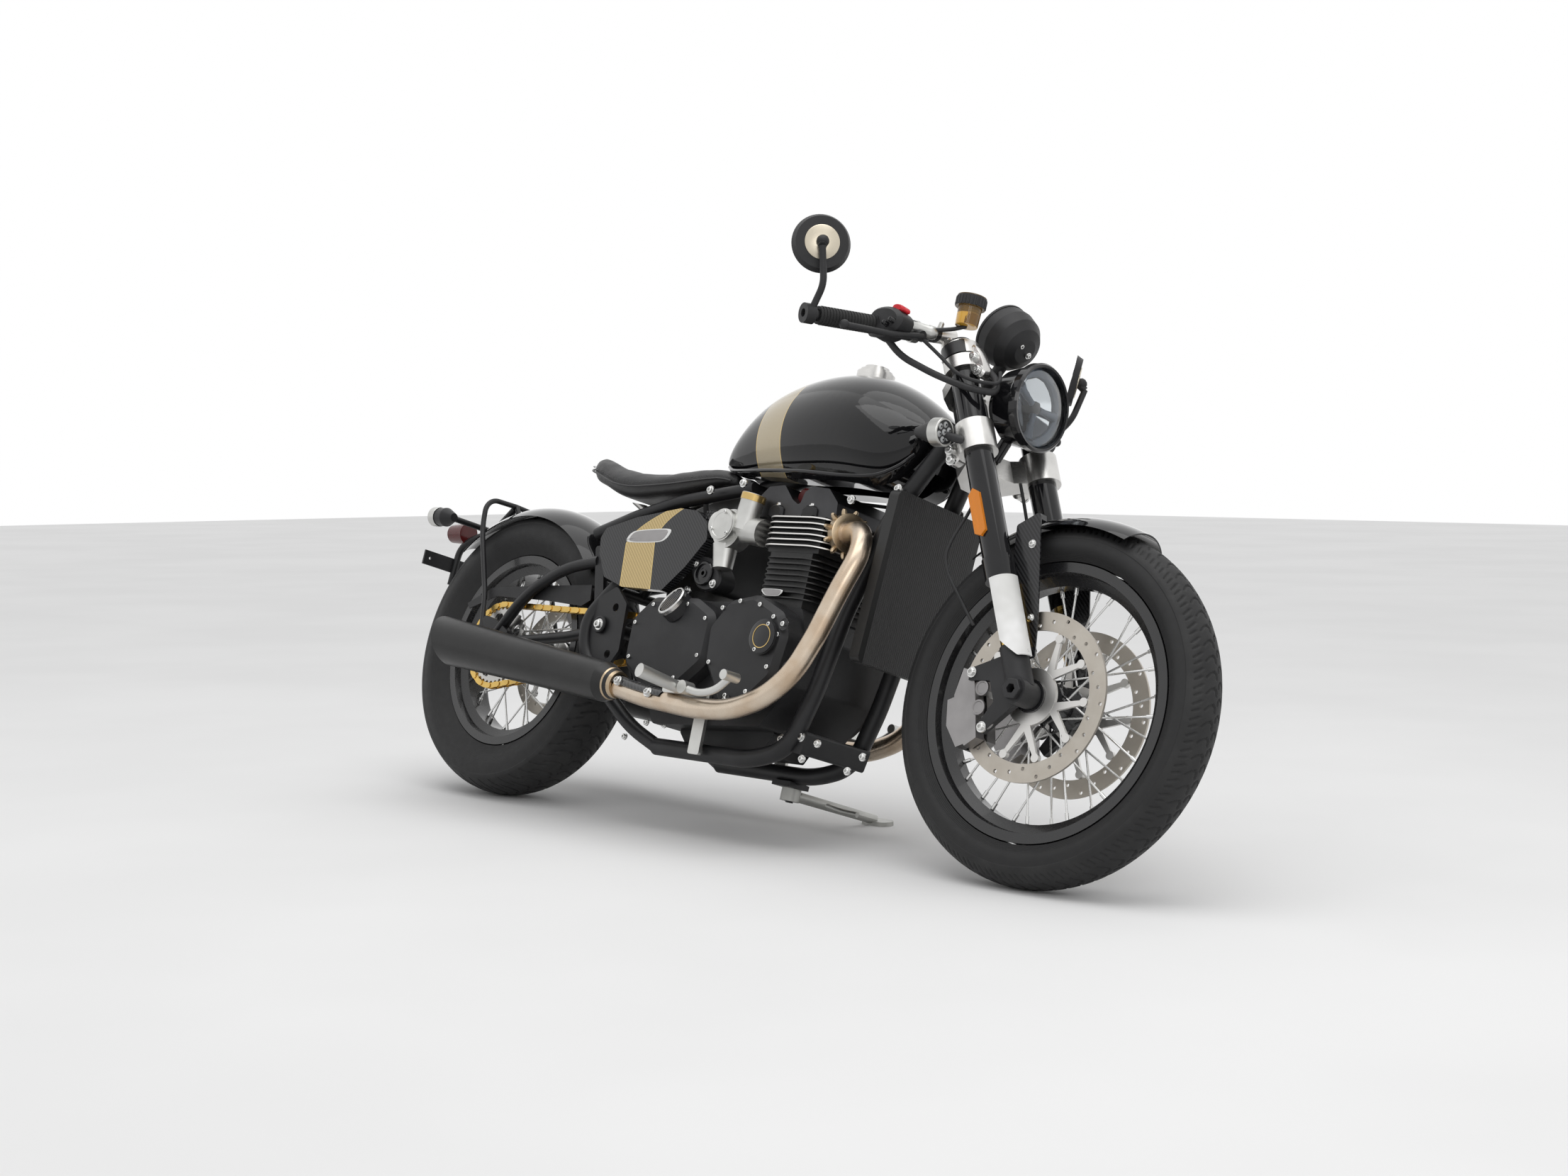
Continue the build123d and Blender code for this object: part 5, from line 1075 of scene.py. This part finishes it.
# %% Leather
leather = Finish("saddle_leather", (0.018, 0.018, 0.019), 0.45, coat_weight=0.12, coat_roughness=0.25)
pebbles = leather.node("ShaderNodeTexVoronoi", None, {"Vector": leather.where(), "Scale": 620.0})
worn = leather.noise(6.0).step(0.35, 0.7)
leather.set("Base Color", leather.mix(worn, (0.014, 0.014, 0.015), (0.024, 0.023, 0.023)))
leather.set("Roughness", worn * -0.1 + 0.48)
leather.bump(pebbles + leather.noise(90.0) * 0.6, 0.0004)
saddle = make("saddle", [saddle_grid], "frame", leather, on_frame, 80.0)
print("saddle made,", len(saddle.data.vertices), "points")

# %% [markdown]
# The cloth pass. A voxel remesh gives even squares, pressure pushes the skin out for twenty frames with
# gravity off, and each point's move is cut to five millimetres before it is kept.

# %% Blow the saddle up
def evaluated_points(piece):
    """The piece's points with its modifiers in force."""
    graph = bpy.context.evaluated_depsgraph_get()
    mesh = piece.evaluated_get(graph).data
    points = np.zeros(len(mesh.vertices) * 3)
    mesh.vertices.foreach_get("co", points)
    return points.reshape(-1, 3)


CLOTH_FRAMES, VOXEL = 20, 0.0055


def inflate(piece, pressure, most):
    """Remesh, run the cloth with its underside pinned, and keep moves of at most most metres."""
    bpy.context.view_layer.objects.active = piece
    remesh = piece.modifiers.new("even", "REMESH")
    remesh.mode, remesh.voxel_size = "VOXEL", VOXEL
    with bpy.context.temp_override(object=piece, active_object=piece, selected_objects=[piece]):
        bpy.ops.object.modifier_apply(modifier=remesh.name)
    rest = evaluated_points(piece)
    under = [v.index for v in piece.data.vertices if v.normal @ Vector(up_dir) < -0.75]
    held = piece.vertex_groups.new(name="under")
    held.add(under, 1.0, "REPLACE")
    cloth = piece.modifiers.new("skin", "CLOTH")
    cloth.settings.vertex_group_mass = held.name
    cloth.settings.use_pressure = True
    cloth.settings.uniform_pressure_force = pressure
    cloth.settings.effector_weights.gravity = 0.0
    cloth.settings.tension_stiffness = cloth.settings.compression_stiffness = 12.0
    for step in range(1, CLOTH_FRAMES + 1):
        bpy.context.scene.frame_set(step)
    moved = evaluated_points(piece) - rest
    piece.modifiers.remove(cloth)
    bpy.context.scene.frame_set(1)
    reach = np.linalg.norm(moved, axis=1, keepdims=True)
    moved *= np.minimum(1.0, most / np.maximum(reach, 1e-9))
    piece.data.vertices.foreach_set("co", (rest + moved).ravel())
    piece.vertex_groups.clear()
    held_back = round(float((reach > most).mean()), 2)
    print("moved at most", round(float(reach.max()) * 1000, 1), "mm, kept up to", most * 1000)
    print("share of points held back", held_back)
    relax = piece.modifiers.new("relax", "SMOOTH")
    relax.factor, relax.iterations = 0.5, 8
    smooth = piece.modifiers.new("smooth", "SUBSURF")
    smooth.levels = smooth.render_levels = 1
    piece.data.polygons.foreach_set("use_smooth", np.ones(len(piece.data.polygons), bool))
    piece.data.update()


inflate(saddle, 4.0, 0.005)
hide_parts("seat")
print("saddle faces", len(saddle.data.polygons))

# %% [markdown]
# A piped seam runs round the saddle low on its side, where the cover folds under the pan, and a line of
# stitches follows it a little higher.

# %% Saddle seams
def saddle_line(side, out, drop):
    """A line along the saddle's side: half width times out, at edge height less thickness times drop."""
    inner = saddle_stations[2:-1:2]
    return np.array([(x, side * half * out, edge - thick * drop) for x, half, edge, _, thick in inner])


seams = [sweep(saddle_line(side, 1.005, 0.66), 2.2, 8) for side in (-1, 1)]
make("saddle_piping", seams, "frame", leather)
stitch_thread = coat_paint("stitch_thread", (0.05, 0.05, 0.05), 0.6, 0.0001)
stitches = []
for side in (-1, 1):
    line = smooth_path(saddle_line(side, 1.015, 0.5), 170)
    stitches += [sweep(line[k:k + 2], 0.7, 6) for k in range(0, 168, 3)]
make("saddle_stitches", stitches, "frame", stitch_thread)

# %% [markdown]
# Wheels: black rims and hubs with bright spokes between them. One finish does both, by its distance from
# the axle: between the hub's flange and the rim it is bare steel. The discs have silver carriers and
# browner rotors, and the radiator's face has fine tubes crossed by slanted fins.

# %% Wheels, discs and radiator
def wheel_finish(name, axle, steered, hub_r, rim_r):
    """Black paint, but steel where the radius is between hub_r and rim_r."""
    metal = Finish(name, (0.014, 0.014, 0.015), 0.3, coat_weight=0.3)
    radius = from_axle(metal, axle, steered)
    spoke = radius.band(hub_r, rim_r, 0.0008)
    cloud = metal.mix(metal.noise(12.0), (0.010, 0.010, 0.011), (0.018, 0.018, 0.019))
    metal.set("Base Color", metal.mix(spoke, cloud, (0.68, 0.68, 0.67)))
    metal.set("Metallic", spoke)
    metal.set("Roughness", metal.noise(60.0) * 0.1 + 0.22)
    return metal


HUB_R = 0.049
dress(wheel_finish("front_wheel_finish", FRONT_AXLE, True, HUB_R, 0.2165), "front_wheel")
dress(wheel_finish("rear_wheel_finish", REAR_AXLE, False, HUB_R, 0.1795), "rear_wheel")


def disc_finish(name, axle, steered, inner_r):
    """Silver carrier, and outside inner_r a browner rotor with fine ground rings and pad marks."""
    metal = Finish(name, (0.6, 0.59, 0.57), 0.3, 1.0)
    radius = from_axle(metal, axle, steered)
    rotor = radius.step(inner_r - 0.0005, inner_r + 0.0005)
    worn = metal.mix(metal.noise(30.0), (0.40, 0.36, 0.31), (0.52, 0.49, 0.44))
    metal.set("Base Color", metal.mix(rotor, (0.66, 0.65, 0.63), worn))
    sockets = {"W": radius * 900.0, "Detail": 3.0}
    rings = metal.node("ShaderNodeTexNoise", {"noise_dimensions": "1D"}, sockets)
    metal.set("Roughness", rings * 0.2 + 0.26)
    metal.bump(rings * rotor, 0.00012)
    return metal


dress(disc_finish("front_disc_finish", FRONT_AXLE, True, 0.121), "front_discs")
dress(disc_finish("rear_disc_finish", REAR_AXLE, False, 0.1), "rear_disc")
core = Finish("radiator_core", (0.01, 0.01, 0.01), 0.5)
_, y, z = core.upright()
tubes = y.math("PINGPONG", 0.0027) * 370.0
fins = (z + y * 0.35).math("PINGPONG", 0.0011) * 909.0
flat = abs(y) < 0.112
# The gaps between the tubes are painted darker than the tube faces: painted shade in the recesses.
core.set("Base Color", core.mix(tubes.step(0.55, 0.8) * flat, (0.006, 0.006, 0.006), (0.022, 0.022, 0.022)))
core.set("Roughness", fins * 0.15 + 0.4)
core.bump((tubes.step(0.3, 0.7) + fins * 0.35) * flat, 0.0016)
dress(core, "radiator")
print("wheels and radiator dressed")

# %% [markdown]
# The tyres get their tread as shape, not paint. Each is the solid's own section turned about the axle,
# with grooves pressed into the crown: curved hooks that start beside the middle and slanted dashes on
# the shoulder, each side half a pitch behind the other. A shallow step rings the wall under the shoulder.

# %% Tyre tread
CROWN_ROWS, TREAD_STEPS = 57, 1080
GROOVE_HALF, GROOVE_DEPTH = 2.1, 2.6


def ease(value, low, high):
    """0 below low, 1 above high, three t squared minus two t cubed between."""
    t = np.clip((value - low) / (high - low), 0, 1)
    return t * t * (3 - 2 * t)


def stroke(along, across, path, half):
    """1 inside a groove that follows a path of (across, along) points, falling to 0 at its edges."""
    best = np.full(np.broadcast(along, across).shape, 1e9)
    for (a0, b0), (a1, b1) in zip(path[:-1], path[1:]):
        run_a, run_b = a1 - a0, b1 - b0
        t = np.clip(((across - a0) * run_a + (along - b0) * run_b) / (run_a**2 + run_b**2), 0, 1)
        best = np.minimum(best, np.hypot(across - a0 - t * run_a, along - b0 - t * run_b))
    return 1 - ease(best, half * 0.6, half * 1.25)


def tyre_section(radius, width, crown, bead, bead_half, rows):
    """Points (across, radius) from the left bead over the crown to the right bead, then inside."""
    half = width / 2
    edge = half * 0.93
    drop = crown - math.sqrt(crown**2 - edge**2)
    low = (radius - drop + bead) / 2
    y = np.linspace(-edge, edge, rows)
    top = np.stack([y, radius - crown + np.sqrt(crown**2 - y**2)], 1)
    wall = smooth_path([(edge, radius - drop), (half, low), (bead_half, bead)], 11)[1:]
    inner = np.array([(bead_half - 6, bead + 1), (half * 0.72, low), (0, radius - drop - 9)])
    back = np.vstack([inner, inner[-2::-1] * [-1, 1]])
    return np.vstack([wall[::-1] * [-1, 1], top, wall, back]), len(wall)


def treaded_tyre(name, body, axle, sizes, pitches, hook, dashes, finish, place):
    """The section turned round in fine steps, each crown point lowered where a groove passes."""
    radius = sizes[0]
    section, wall_rows = tyre_section(*sizes, CROWN_ROWS)
    angle = np.linspace(0, 2 * math.pi, TREAD_STEPS + 1)[:-1]
    pitch = 2 * math.pi * radius / pitches
    reach = np.tile(section[:, 1:2], (1, TREAD_STEPS))
    crown_rows = slice(wall_rows, wall_rows + CROWN_ROWS)
    y = section[crown_rows, :1]
    behind = np.where(y < 0, 0.5, 0.0) * pitch
    along = (angle[None] * radius + behind) % pitch
    depth = 0 * along
    for shift in (-pitch, 0, pitch):
        for path in (hook, *dashes):
            depth = np.maximum(depth, stroke(along + shift, np.abs(y), path, GROOVE_HALF))
    reach[crown_rows] -= depth * GROOVE_DEPTH
    grid = np.stack([
        axle[0] * 1000 + reach * np.cos(angle), np.broadcast_to(section[:, :1], reach.shape),
        axle[2] * 1000 + reach * np.sin(angle),
    ], -1)
    closed = np.concatenate([grid, grid[:1]])
    piece = make(name, [closed], body, finish, place, 50.0)
    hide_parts(body.replace("wheel", "tyre"))


hook = [(3, 3), (4, 11), (9, 15), (16, 12), (24, 3)]
dashes = [[(31, 18), (41, 9)], [(33, 31), (40, 26)]]
# tyre radius, width, crown radius, bead radius, half width at the bead
front_sizes = (331.0, 104.0, 56.0, 258.3, 36.7)
treaded_tyre("front_tread", "front_wheel", FRONT_AXLE, front_sizes, 72, hook, dashes, front_rubber, on_fork)
wide_hook = [(4, 4), (6, 14), (15, 19), (30, 14), (44, 2)]
wide_dashes = [[(50, 20), (62, 12)], [(36, 33), (48, 24)]]
rear_sizes = (323.0, 144.0, 105.0, 221.3, 47.7)
treaded_tyre(
    "rear_tread", "rear_wheel", REAR_AXLE, rear_sizes, 54, wide_hook, wide_dashes, rear_rubber, on_frame
)

# %% [markdown]
# Small parts that break up the black. A blank plate with a silver rim sits on the right side panel, a
# smaller one on the barrel block. The throttle housing has a patch of holes, the head four bolted blocks
# and one dark red plug.

# %% Plates, blocks and plug
def firm(outline, share=0.16):
    """An outline with two points beside each corner, so that rounding keeps its straight edges."""
    flat = np.asarray(outline, float)
    ahead = np.roll(flat, -1, 0)
    pairs = np.stack([flat * (1 - share) + ahead * share, flat * share + ahead * (1 - share)], 1)
    return pairs.reshape(-1, 2)


def plate_grids(outline, side, base, rim, thick):
    """A rim slab round an outline and, a little lower, its face inside it."""
    flat = firm(outline)
    inner = flat.mean(0) + (flat - flat.mean(0)) * rim
    return slab(flat, side * base, side * (base + thick), 0.8, 2), inner


rims, faces = [], []
for outline, base, thick in (
    ([(404, 561), (424, 589), (554, 598), (532, 565)], 133.6, 2.2),
    ([(833, 484), (901, 485), (893, 470), (851, 469)], 123.0, 3.0),
):
    rim_slab, inner = plate_grids(outline, -1, base, 0.86, thick)
    rims.append(rim_slab)
    faces.append(slab(inner, -(base + thick - 0.6), -(base + thick + 0.5), 0.4, 2))
make("plate_rims", rims, "frame", bolt_steel)
make("plate_faces", faces, "frame", titanium)
spots = [(638 + 8.2 * k + 4.1 * (j % 2), 609 + 6.6 * j) for j in range(5) for k in range(3)]
holes = [lathe([(0, 0), (0, 2.5), (0.5, 2.4), (0.5, 0)], (x, -130.2, z), RIGHT, 10) for x, z in spots]
make("housing_holes", holes, "frame", polished)
blocks, bolts = [], []
for x in (799, 893):
    outline = [(x - 22, 634), (x + 22, 634), (x + 19, 664), (x - 19, 664)]
    for side in (-1, 1):
        blocks.append(slab(outline, side * 74, side * 100, 5.0, 1))
        bolts.append(bolt((x, side * 88, 663.6), UP, 6.0))
make("head_blocks", blocks, "frame", cover_paint)
make("head_block_bolts", bolts, "frame", bolt_steel)
plug_red = coat_paint("dark_red_plug", (0.075, 0.006, 0.006), 0.35, 0.0001)
plug = [(832, 708), (822, 691), (829, 662), (850, 662), (846, 690), (856, 706)]
make("plug_lead", [slab(plug, -52, -70, 4.0, 1)], "frame", plug_red)

# %% [markdown]
# More cap bolts, where the photograph shows them: at the tank rails, the cradle and its lower plate, the
# rear cage's pivot, and in deep pockets round the clutch cover. The pair at the cage and three of the
# foremost at the cradle stand clear of the solids.

# %% More bolts
pockets, deep = [], []
pocket = [(-1, 0), (-1, 12), (0.6, 12.4), (0.8, 10.8), (-0.4, 10), (-0.4, 0)]
for x, z in ((978, 405), (1011, 322), (864, 247)):
    pockets.append(lathe(pocket, (x, -180, z), RIGHT, 24))
    deep.append(bolt((x, -180.6, z), RIGHT, 5.2, False))
make("cover_pockets", pockets, "frame", polished)
frame_spots = [(591, 477, 95), (1106, 670, 95), (1117, 701, 95)]
deep += [bolt((x, side * y, z), (0, side, 0), 6.5) for x, z, y in frame_spots for side in (-1, 1)]
deep += [bolt((x, -92.5, z), RIGHT, 5.5) for x, z in ((1046, 197), (1014, 164), (1168, 183), (1137, 153))]
deep += [bolt((x, -101, z), RIGHT, 5.0) for x, z in ((563, 193), (618, 193), (506, 158))]
make("more_bolts", deep, "frame", bolt_steel)
pivot_cap = [(0, 0), (0, 19), (3, 18), (4, 15), (2, 12), (2, 0)]
caps = [lathe(pivot_cap, (PIVOT_X, side * 143.5, PIVOT_Z), (0, side, 0), 36) for side in (-1, 1)]
make("pivot_caps", caps, "frame", satin_plastic)

# %% Finish
low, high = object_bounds()
grown = [round(float(v) * 1000, 1) for v in (*(cad_low - low), *(high - cad_high))]
print("grown by, in mm, low ends then high ends", grown)
